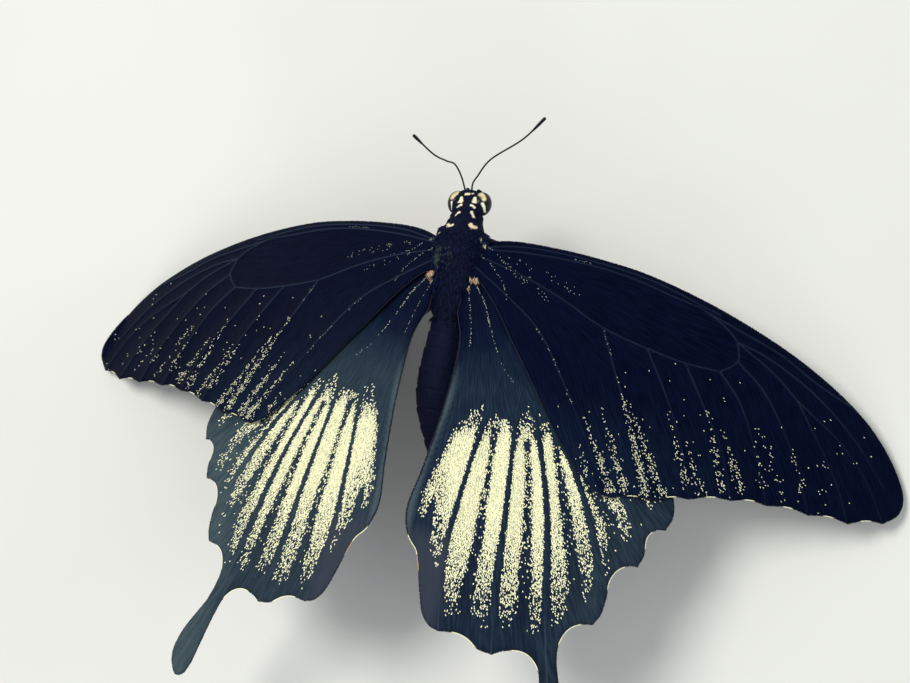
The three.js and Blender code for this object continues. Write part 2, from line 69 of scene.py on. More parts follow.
# ---- Stance and wing carriage, as in the solids ----
BODY_PITCH = math.radians(8)
WING_HINGE = np.array([3.0, 1.0, 0.0])
WING_CARRIAGE = {
    "right": {"droop": -0.6, "pitch": -0.2, "sweep": 0.1},
    "left": {"droop": 1.1, "pitch": 0.5, "sweep": -0.4},
}
WING_STRETCH = {
    ("forewing", "right"): (1.0, 1.0),
    ("forewing", "left"): (0.992, 0.977),
    ("hindwing", "right"): (1.0, 1.0),
    ("hindwing", "left"): (0.98, 1.0),
}
WING_STAGGER = {"forewing": 0.33, "hindwing": -0.33}  # the sheets are thinner than the solids, and lie closer
TAIL_SPLAY = {"right": 0.0, "left": 0.5}
TAIL_ROOT = -40.0
TAIL_TIP = -52.6

# ---- Wing surface: height over the body plane, from the distance out (x) and forward (y) of the base ----
WING_RISE = 1.09
WING_DROOP = 0.197
WING_SLOPE = 0.2934
WING_ARCH = 0.004064
WING_TWIST = 0.001852
WING_SAG = 0.000636

# ---- The wing sheet ----
SHEET_HALF = 0.06  # half the membrane's thickness
FLOOR_CLEARANCE = 0.09  # of the sheet's middle, where a wing tip is laid on the floor
LEAST_CLEARANCE = 0.02  # of its lower face
OUTLINE_STEP = 0.3
OUTLINE_INSET = 0.14  # the fringe of scales fills this strip
RIM_GAP = 0.12  # at least, from a point beside a vein to the rim
FILL_RIM_GAP = 0.2  # at least, from a point between the veins to the rim
FILL_VEIN_GAP = 0.5  # at least, from a point between the veins to a vein
VEIN_STEP = 0.35
VEIN_OFFSETS = (0.0, 0.13, -0.13, 0.3, -0.3)  # of the rows of points along a vein
FILL_STEP = 0.42  # of the points between the veins
FOLD_STEP = 0.5
FOLD_POINTS = 32  # at most, of a fold in the forewing
RIDGE_HALF_WIDTH = 0.17
RIDGE_HEIGHT = 0.08
PLEAT_DEPTH = {"forewing": 0.07, "hindwing": 0.16}
ROLL_HEIGHT = 0.35  # of the hindwing's inner margin
ROLL_WIDTH = 2.2
RAKE = 0.56  # how far outwards the forewing's outer veins run for each millimetre back
FAN_POLE = (2.0, 6.0)  # the inner veins fan out from about here
FAN_SCALE = 22.0  # mm to a radian of the fan

# ---- Forewing plan: x outwards, y forwards ----
FOREWING_ENDS = {
    "radial4": (53.3, -20.7),
    "radial5": (49.6, -21.25),
    "medial1": (45.3, -20.9),
    "medial2": (40.7, -20.5),
    "medial3": (36.9, -20.5),
    "cubital1": (32.5, -21.05),
    "cubital2": (28.6, -21.8),
    "anal": (24.2, -22.2),
}
FOREWING_NOTCH_DEPTH = 0.35
FOREWING_COSTA = [
    (2.2, 4.2), (3.4, 4.9), (6.2, 5.5), (11.8, 5.45), (17, 4.95), (22.5, 4),
    (32, 0.9), (41.9, -3.9), (49.3, -9.3), (53.6, -14.6), (55, -17.8), (54.7, -19.5),
]
FOREWING_INNER_MARGIN = [
    (23.2, -22.1), (21.7, -21.4), (18.2, -18.1), (14.6, -13.6), (12.4, -10.6), (9.3, -6.6), (5.8, -2.1),
    (3.6, 0), (2.2, 0.6),
]
FOREWING_VEINS = {
    "costal": [(2.4, 4.1), (8, 4.95), (16, 4.55), (23, 3.3), (31, 0.6)],
    "radius": [(2.4, 3.9), (8.3, 4.3), (14.4, 4.15), (20, 3.4), (25.5, 1.9), (29.5, 0.7), (32.5, -1.2),
               (33.6, -2.3)],
    "radial1": [(29.5, 0.7), (33.5, -0.9), (38.5, -3), (43, -5.7), (48, -8.2)],
    "radial3": [(33.6, -2.3), (36.8, -3.4), (42.5, -6.6), (48, -11.2), (52.6, -16.6)],
    "radial4": [(33.6, -2.3), (38.4, -5.4), (41.3, -7.9), (46.9, -12.1), (50.4, -15.9),
                FOREWING_ENDS["radial4"]],
    "radial5": [(41.3, -7.9), (43.6, -11.1), (47.2, -16.3), FOREWING_ENDS["radial5"]],
    "cell_end": [(33.6, -2.3), (34.1, -4.5), (32.5, -6)],
    "medial1": [(34.1, -4.5), (37.7, -7.6), (42.8, -15.2), FOREWING_ENDS["medial1"]],
    "medial2": [(32.5, -6), (35.3, -9.1), (38.6, -15.2), FOREWING_ENDS["medial2"]],
    "cubitus": [(2.4, 3.2), (8, 1.7), (13, -0.2), (18.8, -3), (24.1, -4.6), (28.6, -5.6), (32.5, -6)],
    "medial3": [(28.6, -5.6), (31.7, -10.3), (34.5, -14.6), FOREWING_ENDS["medial3"]],
    "cubital1": [(24.1, -4.6), (27.1, -9.2), (29.8, -14), FOREWING_ENDS["cubital1"]],
    "cubital2": [(18.8, -3), (22, -9.2), (25.2, -14.9), FOREWING_ENDS["cubital2"]],
    "anal": [(2.4, 2), (7, -0.9), (11.6, -4.3), (15.5, -9.3), (19.5, -15.3), FOREWING_ENDS["anal"]],
}

# ---- Hindwing plan ----
HINDWING_ENDS = {
    "radial": (30.7, -25),
    "medial1": (28.7, -29.5),
    "medial2": (25.4, -36.6),
    "medial3": (24.6, -51.4),
    "cubital1": (15.3, -41.7),
    "cubital2": (8.8, -40.2),
}
HINDWING_MARGIN = [
    [(1.8, 0.9), (4.6, 0.9), (8.4, -1.1), (15, -5.4), (22, -11), (27.5, -16.5), (30.4, -20.4), (31.2, -23.3),
     HINDWING_ENDS["radial"]],
    [HINDWING_ENDS["radial"], (29.7, -25.1), (29, -26), (29.1, -28), HINDWING_ENDS["medial1"]],
    [HINDWING_ENDS["medial1"], (27.6, -29.6), (26.6, -30.3), (26.1, -31.6), (26.2, -33.2), (26, -35.4),
     HINDWING_ENDS["medial2"]],
    [HINDWING_ENDS["medial2"], (24.1, -36.8), (23, -37.5), (22.35, -39.1), (22.5, -41), (23.2, -43.2)],
    [(23.2, -43.2), (25.6, -47.5), (26.15, -49.8), (25.8, -51.3), (24.6, -52.6), (23.4, -52.2),
     (22.6, -50.6)],
    [(22.6, -50.6), (22.1, -48.2), (21.3, -44.6), (20.6, -42.5), (19.5, -41.3), (18.3, -40.85), (16.5, -41.1),
     HINDWING_ENDS["cubital1"]],
    [HINDWING_ENDS["cubital1"], (13.6, -41.4), (12.2, -40.5), (10.9, -40.1), HINDWING_ENDS["cubital2"]],
    [HINDWING_ENDS["cubital2"], (7.6, -39.8), (6.5, -38.65), (5.6, -36.4), (4.6, -33.2)],
    [(4.6, -33.2), (4, -31.8), (2.7, -30.3), (1.8, -27.5), (2.4, -22.3), (3.1, -14), (2.9, -7), (1.8, -4)],
]
HINDWING_VEINS = {
    "radius": [(4, 0), (6.2, -1.8), (10, -5.9), (15, -11.2), (20.5, -16.5), (26, -21.4),
               HINDWING_ENDS["radial"]],
    "cell_end": [(15, -11.2), (15.7, -13.1), (14.4, -13.5), (13, -12.6), (11.3, -11.2)],
    "medial1": [(15.7, -13.1), (20.4, -17.2), (23.5, -20), (26, -22.8), (27.6, -25.6),
                HINDWING_ENDS["medial1"]],
    "medial2": [(14.4, -13.5), (19.8, -20.5), (23.2, -27), (24.9, -32), HINDWING_ENDS["medial2"]],
    "medial3": [(13, -12.6), (17.2, -23.9), (19.4, -33), (20.5, -38), (22.1, -43.8),
                HINDWING_ENDS["medial3"]],
    "cubitus": [(3.3, -0.5), (4.9, -2.6), (5.8, -4.5), (7.2, -7.1), (8.8, -9.6), (11.3, -11.2)],
    "cubital1": [(11.3, -11.2), (12, -18), (13.2, -27), (13.9, -33.5), HINDWING_ENDS["cubital1"]],
    "cubital2": [(8.8, -9.6), (8.2, -15), (7.5, -25), (7.4, -32), HINDWING_ENDS["cubital2"]],
    "anal": [(2.6, -1.3), (3.2, -2.9), (3.9, -5.6), (4.7, -9.5), (4.9, -14), (4.2, -19), (3.7, -25)],
}
HINDWING_FOLDS = [  # between cubital2, cubital1, medial3, medial2, medial1 and the radius, in turn
    [(9.5, -16.6), (10, -21.4), (10.25, -25.5), (10.7, -29), (10.8, -33.5), (11.3, -40.1)],
    [(13.4, -17.5), (14.3, -20.6), (15.2, -24.5), (15.9, -28.1), (17, -33.6), (18.2, -40.6)],
    [(16.4, -16.8), (18.5, -22.1), (20.5, -27.3), (21.9, -30.9), (22.8, -33.8), (23.2, -37.2)],
    [(19.8, -18.6), (22.5, -22.4), (23.8, -23.9), (25, -25.9), (25.9, -28.2), (26.3, -30.6)],
    [(21.5, -16.8), (25.5, -20.6), (28.2, -24), (29, -26)],
]
DUSTY_VEIN = ("hindwing", "anal")  # the only vein that the pale dusting doesn't leave bare
INNER_BAND = [(-30, 2.9), (-28.5, 2.8), (-25, 2.75), (-20, 3.2), (-14.5, 3.9), (-8, 4.0), (-4, 3.2)]

# ---- The pale dusting of the hindwing, by direction (degrees) and distance (mm) from this plan point ----
DUST_POLE = np.array([4.0, -2.0])
DUST_FIRST = [(6, 13.6), (13, 11.8), (20, 13.5), (26, 14.5), (31, 14.7), (37, 14.1), (40, 15.7), (43, 17.4),
              (60, 22.4)]
DUST_DENSE = [(5, 14.8), (17, 14.7), (25, 15), (30, 16.2), (35, 16.4), (39, 17.4), (60, 25)]
DUST_ENDS = [(0, 29), (4.2, 30.8), (8, 37), (14.1, 37.8), (18.8, 38.1), (23.1, 40.1), (26.1, 40.2),
             (32.7, 37.6), (36.5, 36.3), (42.5, 34.5), (47.2, 32.7), (51.3, 32.3), (60, 30)]
DUST_INNER_EDGE = [(-40, 6.6), (-32, 5.7), (-30, 4.9), (-28.6, 5.1), (-28, 3.5), (-27, 3.2), (-25.4, 3.2),
                   (-23.6, 3.5), (-22, 3.9), (-19.9, 4.5), (-17.7, 5), (-16, 5.4), (-12, 6.4)]
DARK_OVAL = {"centre": (4.65, -27.7), "half": (0.5, 2.1)}

# The forewing's streaks: where each starts and ends, and how densely its scales lie at the end.
FOREWING_STREAKS = [
    ((19.5, -17), (20.8, -19.7), 0.4), ((19.2, -13.6), (24, -21.3), 0.75), ((20.6, -12), (25.3, -20.8), 0.75),
    ((21.7, -8.4), (27.7, -20.9), 0.85), ((23.6, -11), (29.5, -20.9), 0.6), ((28, -11.6), (31.8, -19.2), 0.4),
    ((29.9, -13.2), (33.6, -20.1), 0.36), ((32, -10.3), (35.6, -19.2), 0.42), ((34, -12.4), (37.7, -19), 0.4),
    ((37, -10.7), (39.8, -14.3), 0.14), ((37.8, -13), (39.7, -18), 0.2), ((40, -15.4), (42.5, -19.1), 0.12),
    ((41.8, -13.7), (44, -17.9), 0.12), ((43.7, -15.1), (46.2, -18.6), 0.07),
    ((45.1, -13.6), (47, -16.7), 0.06),
]
STREAK_HALF_WIDTH = (0.14, 0.42)  # at its start and its end

# Lines of pale flecks on the bases of the wings: plan points, half width and share of pale scales.
FLECK_LINES = {
    "forewing": [
        ([(4.4, 2.5), (5.7, 1.2), (6.6, 0.2), (7.3, -1.4)], 0.06, 0.8),
        ([(3.4, 4.5), (3.9, 4.2)], 0.16, 0.95),
        ([(3.1, 3.3), (3.6, 3.0)], 0.12, 0.9),
        ([(4.3, 4.1), (4.9, 3.7), (5.8, 2.9), (7.6, 2), (9.3, 1.6)], 0.07, 0.5),
        ([(12.6, 4.5), (14.5, 4.45), (16.2, 4.25)], 0.06, 0.7),
        ([(5.2, 3.1), (7, 2.1), (9, 0.9), (12, -0.6)], 0.35, 0.045),
        ([(6.4, 3.5), (8.3, 2.9), (11, 2.2), (15, 0.6)], 0.4, 0.045),
        ([(11.6, -4.3), (14.4, -7.7), (17.4, -12.1)], 0.12, 0.12),
        ([(18.8, -3), (20.6, -6.4)], 0.14, 0.12),
    ],
    "hindwing": [
        ([(3.4, -0.6), (4.3, -1.8), (4.9, -2.6), (5.8, -4.5)], 0.09, 0.62),
        ([(5.8, -4.5), (7.2, -7.1), (8.9, -9.6), (10.4, -11)], 0.09, 0.22),
        ([(2.7, -1.5), (3.2, -2.9), (4, -5.7), (4.3, -7.5)], 0.08, 0.4),
    ],
}

# ---- Body ----
THORAX = {"axis_height": -1.0, "flattening": 1.1, "stoop": 0.016, "stoop_start": 1.0}
THORAX_PROFILE = [
    (-5.6, 0), (-5.4, 1.3), (-4.2, 2.2), (-2, 2.7), (0.6, 3.05), (3, 3.35), (4.6, 3.2), (6, 2.55), (6.9, 2.2),
    (7.7, 2.05), (8.15, 1.5), (8.3, 0),
]
ABDOMEN = {"axis_height": -1.5, "flattening": 0.95}
ABDOMEN_GIRTH = [
    (-21.4, 0.35), (-19.4, 1.3), (-17.5, 2.1), (-15.5, 2.7), (-13.3, 2.95), (-11, 2.9), (-8, 2.6),
    (-4.6, 2.15), (-3.4, 1.8),
]
ABDOMEN_GROOVES = (-4.9, -6.6, -8.6, -11.0, -13.6, -16.0, -18.1, -19.8)
ABDOMEN_TIP = (-21.55, 0.05)
ABDOMEN_ROOT = (-2.2, 1.2)  # inside the thorax
GROOVE = {"depth": 0.13, "width": 0.16}
LIP = {"height": 0.05, "width": 0.4, "behind": 0.5}
GROOVED_RADIUS = 0.5  # the abdomen has grooves and lips where it is thicker than this
LEAST_RADIUS = 0.02
HEAD = {"centre": (0, 9.25, -1.6), "half": (1.95, 1.62, 1.7)}
CROWN = {"centre": (0.15, 8.6, -0.85), "half": (2.2, 1.4, 1.25)}
COLLAR_LOBE = {"centre": (1.1, 6.65, -0.35), "half": (0.8, 0.45, 0.6)}
FORE_COXA = {"centre": (1.35, 4.6, -3.3), "half": (0.75, 1.0, 0.9)}
TEGULA_CENTRES = [(3.1, 4.9, -0.25), (-2.3, 5.0, -0.35)]  # the scales over the forewings' roots
TEGULA_HALF = (0.7, 1.0, 0.5)
COAT_DEPTH = {"thorax": 0.16, "abdomen": 0.1, "head": 0.08, "crown": 0.04}  # the skin lies this far inside
SKIN_VOXEL = 0.11
BODY_SIDES = 64
BODY_BACK = -21.6
BODY_LENGTH = 33.0
BODY_AXIS_HEIGHT = -1.3
EYE_CENTRE = {"right": (1.62, 9.25, -1.65), "left": (-1.45, 8.98, -1.65)}
EYE_HALF = (1.17, 1.45, 1.45)
PALP_PATH = [(0.75, 9.5, -2.6), (0.8, 10.2, -3.2), (0.75, 10.75, -2.7), (0.7, 10.85, -2)]
PALP_RADIUS = 0.24
PROBOSCIS = {
    "root": (0, 8.8, -2.5), "centre": (0, 9.7, -4.9), "turns": 1.6, "outer_radius": 1.35, "pitch": 0.62,
    "radius": 0.2, "start": 0.95 * math.pi, "steps_per_turn": 12,
}
ANTENNA_PATHS = {
    "right": [(0.3, 10.1, -1.3), (0.5, 11.5, -0.5), (1.2, 12.5, 0.1), (2.9, 14.4, 1.7), (7.9, 17.5, 4.8),
              (10.6, 20.1, 6.3)],
    "left": [(-0.4, 10.1, -1.3), (-0.9, 12.1, -0.1), (-1.3, 13.4, 1.6), (-1.4, 13.6, 4.2), (-1.75, 14, 7.6),
             (-2.35, 15.7, 13.6)],
}
ANTENNA = {"step": 0.045, "shaft": 0.105, "club": 0.2, "club_start": 0.83, "club_turn": 0.62 * math.pi}
ANTENNA_JOINT = 0.27  # from one ring of the shaft to the next
ANTENNA_TIP = (0.97, 0.9, 0.75, 0.5, 0.15)  # how far its last steps are rounded off
SCAPE = {"step": 8, "half": (0.27, 0.27, 0.27)}  # the bead at the antenna's root
LEGS = {
    "fore": {"hip": (1.3, 5.3, -3.6), "knee": (5.2, 4.2, -6.2), "ankle": (8.4, 3.4, -13.8),
             "land": (9.8, 3.1), "toe": (13, 2)},
    "mid": {"hip": (1.5, 1.4, -3.4), "knee": (7.6, 1.6, -5.6), "ankle": (11.6, 0.4, -13.8),
            "land": (13.4, -0.6), "toe": (16.9, -2)},
    "hind": {"hip": (1.3, -2, -3), "knee": (6.6, -6.4, -5.4), "ankle": (9.4, -11.2, -12.6),
             "land": (10.8, -13.9), "toe": (12, -18)},
}
SPUR_ASIDE = {"fore": (0.2, 0.25, 0), "mid": (0.2, 0.25, 0), "hind": (0.3, 0, 0)}
FOOT_HEIGHT = 0.17
CLAW_CLEARANCE = 0.002  # over the floor
TARSOMERES = (0.36, 0.2, 0.16, 0.12, 0.16)  # share of the foot's length in each of its five joints
BRISTLES_EACH = 90  # on the femur, the tibia and the first joint of the foot

# Pale marks of the head and collar. Each is a bent stroke of places over the skin, seen from above, with its
# half width, how far it narrows towards its last place, and the warmth of its tint.
HEAD_MARKS = [
    ([(-0.5, 9.6), (-0.42, 9.25)], 0.19, -0.45, 0.0),
    ([(-0.42, 9.28), (-0.72, 9.05)], 0.15, 0.4, 0.0),
    ([(1.1, 9.8), (1.18, 9.45)], 0.18, -0.35, 0.0),
    ([(1.18, 9.5), (1.42, 9.3)], 0.14, 0.4, 0.0),
    ([(-0.22, 8.8), (-0.46, 8.66), (-0.74, 8.42)], 0.12, 0.35, 0.0),
    ([(0.98, 8.92), (1.2, 8.88), (1.42, 8.7)], 0.14, 0.3, 0.0),
    ([(-0.38, 7.88), (-0.62, 7.7), (-0.76, 7.4)], 0.14, 0.5, 0.1),
    ([(1.16, 8.08), (1.26, 7.82), (1.38, 7.58)], 0.17, 0.4, 0.1),
    ([(-1.72, 8.95), (-1.62, 8.5), (-1.64, 8.1)], 0.13, 0.3, 0.0),
    ([(2.18, 9.3), (2.38, 8.9), (2.4, 8.4)], 0.17, 0.45, 0.0),
    ([(-1.42, 6.2), (-1.0, 6.12), (-0.66, 6.3)], 0.17, 0.3, 0.15),
    ([(1.34, 6.62), (1.52, 6.42), (1.84, 6.38)], 0.21, 0.15, 0.45),
    ([(-0.1, 10.14), (0.06, 10.18), (0.28, 10.22)], 0.15, 0.0, 0.3),
    ([(0.6, 10.33), (0.68, 10.35)], 0.09, 0.0, 0.1),
    ([(-2.4, 5.05), (-2.1, 5.4)], 0.06, 0.0, 0.4),
    ([(2.75, 5.2), (2.98, 4.98)], 0.06, 0.0, 0.1),
    ([(3.3, 4.65), (3.52, 4.42)], 0.07, 0.0, 0.1),
]
MARKS_OVER = -1.9  # the marks lie only on what is higher than this
THORAX_FLECKS = {"share": 0.14, "centre": (-0.7, 3.0), "half": (1.3, 1.5)}  # single grey hairs
GREY_PATCH = {"centre": (-1.75, 2.4), "half": (0.42, 1.15)}  # of grey hairs on the left of the thorax

# The painted reflection on an eye's dark facets, a tan patch: the ways it faces, from the eye's middle, and
# its half width.
EYE_REFLECTION = {
    "right": [(0.0, 0.8, 0.6), (0.28, 0.68, 0.68), (0.48, 0.5, 0.72)],
    "left": [(0.1, 0.85, 0.5), (-0.13, 0.68, 0.72), (-0.3, 0.42, 0.86)],
}
EYE_REFLECTION_HALF = 0.3

# Pale tufts where the hindwings join the body: place and length of each.
ROOT_TUFTS = {
    "right": [((2.7, 0.3, 0.7), 0.7), ((3.2, 0.3, 0.7), 0.8), ((2.4, -0.7, 0.5), 0.6)],
    "left": [((2.05, 0.35, 1.35), 0.75), ((2.4, 0.3, 1.25), 0.8), ((2.15, -0.45, 1.15), 0.6)],
}
TUFT_HAIRS = 34
BODY_LIE = (0, -1, -0.05)  # the way the coat of the body is combed

# ---- Camera, in the insect's frame ----
CAMERA = {"place": (89.753, 6.822, 241.91), "target": (1.551, -7.498, 0), "up": (-0.16367, 0.98651, 0.00127)}
SENSOR_WIDTH = 36.0
FOCAL_PER_WIDTH = 2150 / 910


# ---- From the insect's frame to the row's ----

def pitched(points):
    """Points of the insect's frame, turned head up, still in mm."""
    x, y, z = np.asarray(points, float).T
    cosine = math.cos(BODY_PITCH)
    sine = math.sin(BODY_PITCH)
    return np.column_stack([x, y * cosine - z * sine, y * sine + z * cosine])


def spindle(profile, sides, axis_height, flattening, stoop=0.0, stoop_start=0.0):
    """Rings of points, shaped (rings, sides, 3), of a form that is round about the Y axis."""
    angles = np.arange(sides) * 2 * math.pi / sides
    y = np.array([step[0] for step in profile], float)[:, None]
    r = np.array([step[1] for step in profile], float)[:, None]
    z = axis_height + flattening * r * np.cos(angles) - stoop * np.maximum(0, y - stoop_start) ** 2
    return np.stack([r * np.sin(angles), y + 0 * z, z], axis=-1)


def shift_of_the_insect():
    """How far the insect's frame is moved in the row's, in mm, from where the thorax solid is."""
    low, high = (np.array(corner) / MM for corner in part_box("thorax"))
    turned = pitched(spindle(THORAX_PROFILE, 24, **THORAX).reshape(-1, 3))
    return (low + high) / 2 - (turned.min(0) + turned.max(0)) / 2


SHIFT = shift_of_the_insect()


def in_frame(points):
    """Points of the insect's frame in mm, as points of the row's frame in metres."""
    return (pitched(points) + SHIFT) * MM


def floor_under(y):
    """Height of the floor in the insect's frame at each y."""
    return -(SHIFT[2] + y * math.sin(BODY_PITCH)) / math.cos(BODY_PITCH)


# ---- Small mathematics ----

CURVE_SAMPLES = 24  # between two given points of a curve
BLOCK = 4000  # points measured at once, so that the arrays stay small


def smoothstep(value, low, high):
    t = np.clip((value - low) / (high - low), 0, 1)
    return t * t * (3 - 2 * t)


def unit(vectors):
    return vectors / np.linalg.norm(vectors, axis=-1, keepdims=True)


def spaced(line, step):
    """The same line with its points at about equal steps."""
    reach = np.concatenate([[0], np.cumsum(np.linalg.norm(np.diff(line, axis=0), axis=1))])
    count = max(1, round(reach[-1] / step))
    wanted = np.linspace(0, reach[-1], count + 1)
    return np.column_stack([np.interp(wanted, reach, line[:, axis]) for axis in range(line.shape[1])])


def swung(directions, angles):
    """Plan directions, each turned by its angle."""
    x, y = directions.T
    return np.column_stack([x * np.cos(angles) - y * np.sin(angles), x * np.sin(angles) + y * np.cos(angles)])


def smooth(points, step):
    """Points at about equal steps along a centripetal Catmull-Rom curve through the given ones."""
    knots = np.array(points, float)
    knots = np.vstack([2 * knots[0] - knots[1], knots, 2 * knots[-1] - knots[-2]])
    t = np.linspace(0, 1, CURVE_SAMPLES + 1)[1:, None]
    fine = [knots[1][None]]
    for before, start, end, after in zip(knots, knots[1:], knots[2:], knots[3:]):
        d0, d1, d2 = (np.linalg.norm(b - a) ** 0.5 for a, b in ((before, start), (start, end), (end, after)))
        leave = ((start - before) / d0 - (end - before) / (d0 + d1) + (end - start) / d1) * d1
        arrive = ((end - start) / d1 - (after - start) / (d1 + d2) + (after - end) / d2) * d1
        fine.append(
            start * (2 * t ** 3 - 3 * t ** 2 + 1) + leave * (t ** 3 - 2 * t ** 2 + t)
            + end * (3 * t ** 2 - 2 * t ** 3) + arrive * (t ** 3 - t ** 2)
        )
    return spaced(np.vstack(fine), step)


def distance_to(points, lines):
    """Distance from each plan point to the nearest of the polylines."""
    nearest = np.full(len(points), np.inf)
    for line in lines:
        start = line[:-1]
        run = line[1:] - start
        length = np.maximum((run ** 2).sum(1), 1e-12)
        for block in range(0, len(points), BLOCK):
            offset = points[block:block + BLOCK, None] - start
            t = np.clip((offset * run).sum(2) / length, 0, 1)[..., None]
            gap = np.linalg.norm(offset - t * run, axis=2).min(1)
            nearest[block:block + BLOCK] = np.minimum(nearest[block:block + BLOCK], gap)
    return nearest


def is_inside(points, outline):
    """Whether each plan point lies inside the closed outline."""
    inside = np.zeros(len(points), bool)
    x, y = points.T
    for (ax, ay), (bx, by) in zip(outline, np.roll(outline, -1, axis=0)):
        if ay == by:
            continue
        inside ^= ((ay > y) != (by > y)) & (x < ax + (y - ay) / (by - ay) * (bx - ax))
    return inside


def outward_of(points, outline):
    """Directions out of a closed outline at points that follow it."""
    ahead = np.roll(points, -1, axis=0) - np.roll(points, 1, axis=0)
    outward = unit(np.column_stack([ahead[:, 1], -ahead[:, 0]]))
    trial = points + outward * 0.05
    return -outward if is_inside(trial, outline).mean() > 0.5 else outward


def hex_grid(low, high, step):
    """Plan points of a honeycomb that fills a rectangle."""
    rows = []
    for row, y in enumerate(np.arange(low[1], high[1], step * math.sqrt(0.75))):
        x = np.arange(low[0] + (row % 2) * step / 2, high[0], step)
        rows.append(np.column_stack([x, np.full(len(x), y)]))
    return np.vstack(rows)


def within_oval(points, oval):
    """Distance of plan points from the middle of an oval, as a share of the way to its edge."""
    return np.hypot(*((points - oval["centre"]) / oval["half"]).T)


def lookup(table, value):
    """Linear interpolation in a short table of (value, result) pairs."""
    return np.interp(value, [row[0] for row in table], [row[1] for row in table])


# ---- Meshes ----

OFF_FLOOR = 0.002 * MM


def put(name, data):
    """A new object of the scene that shows a mesh, light or camera."""
    thing = bpy.data.objects.new(name, data)
    bpy.context.scene.collection.objects.link(thing)
    return thing


def make_piece(name, vertices, faces, material, slot, flat_faces=0, points=None, uv=None):
    """A mesh object from insect-frame points, riding on the model. The last flat_faces faces are flat shaded.

    points holds extra values for the material, each a number or a vector for every vertex. Nothing goes under
    the floor or out of the solids' box.
    """
    mesh = bpy.data.meshes.new(name)
    size = faces.shape[1]
    mesh.vertices.add(len(vertices))
    low, high = np.array(solid_bounds)
    places = np.clip(in_frame(vertices), low + (0, 0, OFF_FLOOR), high)
    mesh.vertices.foreach_set("co", places.astype(np.float32).ravel())
    mesh.loops.add(faces.size)
    mesh.loops.foreach_set("vertex_index", faces.astype(np.int32).ravel())
    mesh.polygons.add(len(faces))
    mesh.polygons.foreach_set("loop_start", np.arange(0, faces.size, size, dtype=np.int32))
    is_smooth = np.arange(len(faces)) < len(faces) - flat_faces
    mesh.polygons.foreach_set("use_smooth", is_smooth)
    for key, values in {"place": np.asarray(vertices, float), **(points or {})}.items():
        kind, field = ("FLOAT_VECTOR", "vector") if values.ndim == 2 else ("FLOAT", "value")
        mesh.attributes.new(key, kind, "POINT").data.foreach_set(field, values.astype(np.float32).ravel())
    if uv is not None:
        layer = mesh.uv_layers.new(name="OFBake")
        layer.data.foreach_set("uv", uv[faces.ravel()].astype(np.float32).ravel())
    mesh.update(calc_edges=True)
    mesh.materials.append(material)
    piece = put(name, mesh)
    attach(piece, "root")
    return piece


def join(parts):
    """One list of vertices and one of faces from several (vertices, faces) pairs."""
    vertices = []
    faces = []
    count = 0
    for part_vertices, part_faces in parts:
        vertices.append(part_vertices)
        faces.append(part_faces + count)
        count += len(part_vertices)
    return np.vstack(vertices), np.vstack(faces)


def grid_faces(rings, sides):
    """Triangles between neighbouring rings of points, and over the first and last ring."""
    i, k = np.meshgrid(np.arange(rings - 1), np.arange(sides), indexing="ij")
    a = (i * sides + k).ravel()
    b = (i * sides + (k + 1) % sides).ravel()
    c = a + sides
    d = b + sides
    ends = []
    last = (rings - 1) * sides
    for m in range(1, sides - 1):
        ends.append((0, m + 1, m))
        ends.append((last, last + m, last + m + 1))
    return np.vstack([np.column_stack([a, b, c]), np.column_stack([b, d, c]), np.array(ends)])


def tube(path, radii, sides, up=(0, 0, 1)):
    """A tube of round section along a path, closed at both ends."""
    path = np.asarray(path, float)
    along = unit(np.gradient(path, axis=0))
    across = np.cross(along, up)
    weak = np.linalg.norm(across, axis=1) < 0.05
    across[weak] = np.cross(along[weak], (0, 1, 0))
    across = unit(across)
    for i in range(1, len(path)):
        turned = across[i - 1] - along[i] * (across[i - 1] @ along[i])
        across[i] = turned / np.linalg.norm(turned)
    above = np.cross(across, along)
    angles = np.arange(sides) * 2 * math.pi / sides
    ring = across[:, None] * np.cos(angles)[:, None] + above[:, None] * np.sin(angles)[:, None]
    vertices = path[:, None] + ring * np.broadcast_to(radii, len(path))[:, None, None]
    faces = grid_faces(len(path), sides)
    return vertices.reshape(-1, 3), faces[:, ::-1]


POLE_GAP = 0.03  # radians from the pole of a ball to its first ring


def ball(centre, half, across=48, along=32):
    """An ellipsoid as rings round the X axis, closed by small end rings."""
    angle = np.linspace(POLE_GAP, math.pi - POLE_GAP, along)
    turn = np.arange(across) * 2 * math.pi / across
    x = -np.cos(angle)[:, None] + 0 * turn
    y = np.sin(angle)[:, None] * np.cos(turn)
    z = np.sin(angle)[:, None] * np.sin(turn)
    vertices = np.stack([x, y, z], axis=-1).reshape(-1, 3) * half + centre
    return vertices, grid_faces(along, across)[:, ::-1]


# One flat scale: along, across and height, for a scale one long and one wide.
FLAKE = np.array([
    (0, 0, 0), (0.45, -0.5, 0), (0.95, -0.36, 0), (0.95, 0.36, 0), (0.45, 0.5, 0), (0.55, 0, 0.12),
])
FLAKE_FACES = np.array([
    (0, 1, 5), (1, 2, 5), (2, 3, 5), (3, 4, 5), (4, 0, 5), (0, 4, 3), (0, 3, 2), (0, 2, 1),
])
PATCH = 0.003  # width of one scale's or hair's patch on the bake map
MAP_BORDER = 0.01
WING_MAP = {"corner": (-2, 6), "size": 64}  # plan point at the map's corner, and the mm that the map spans


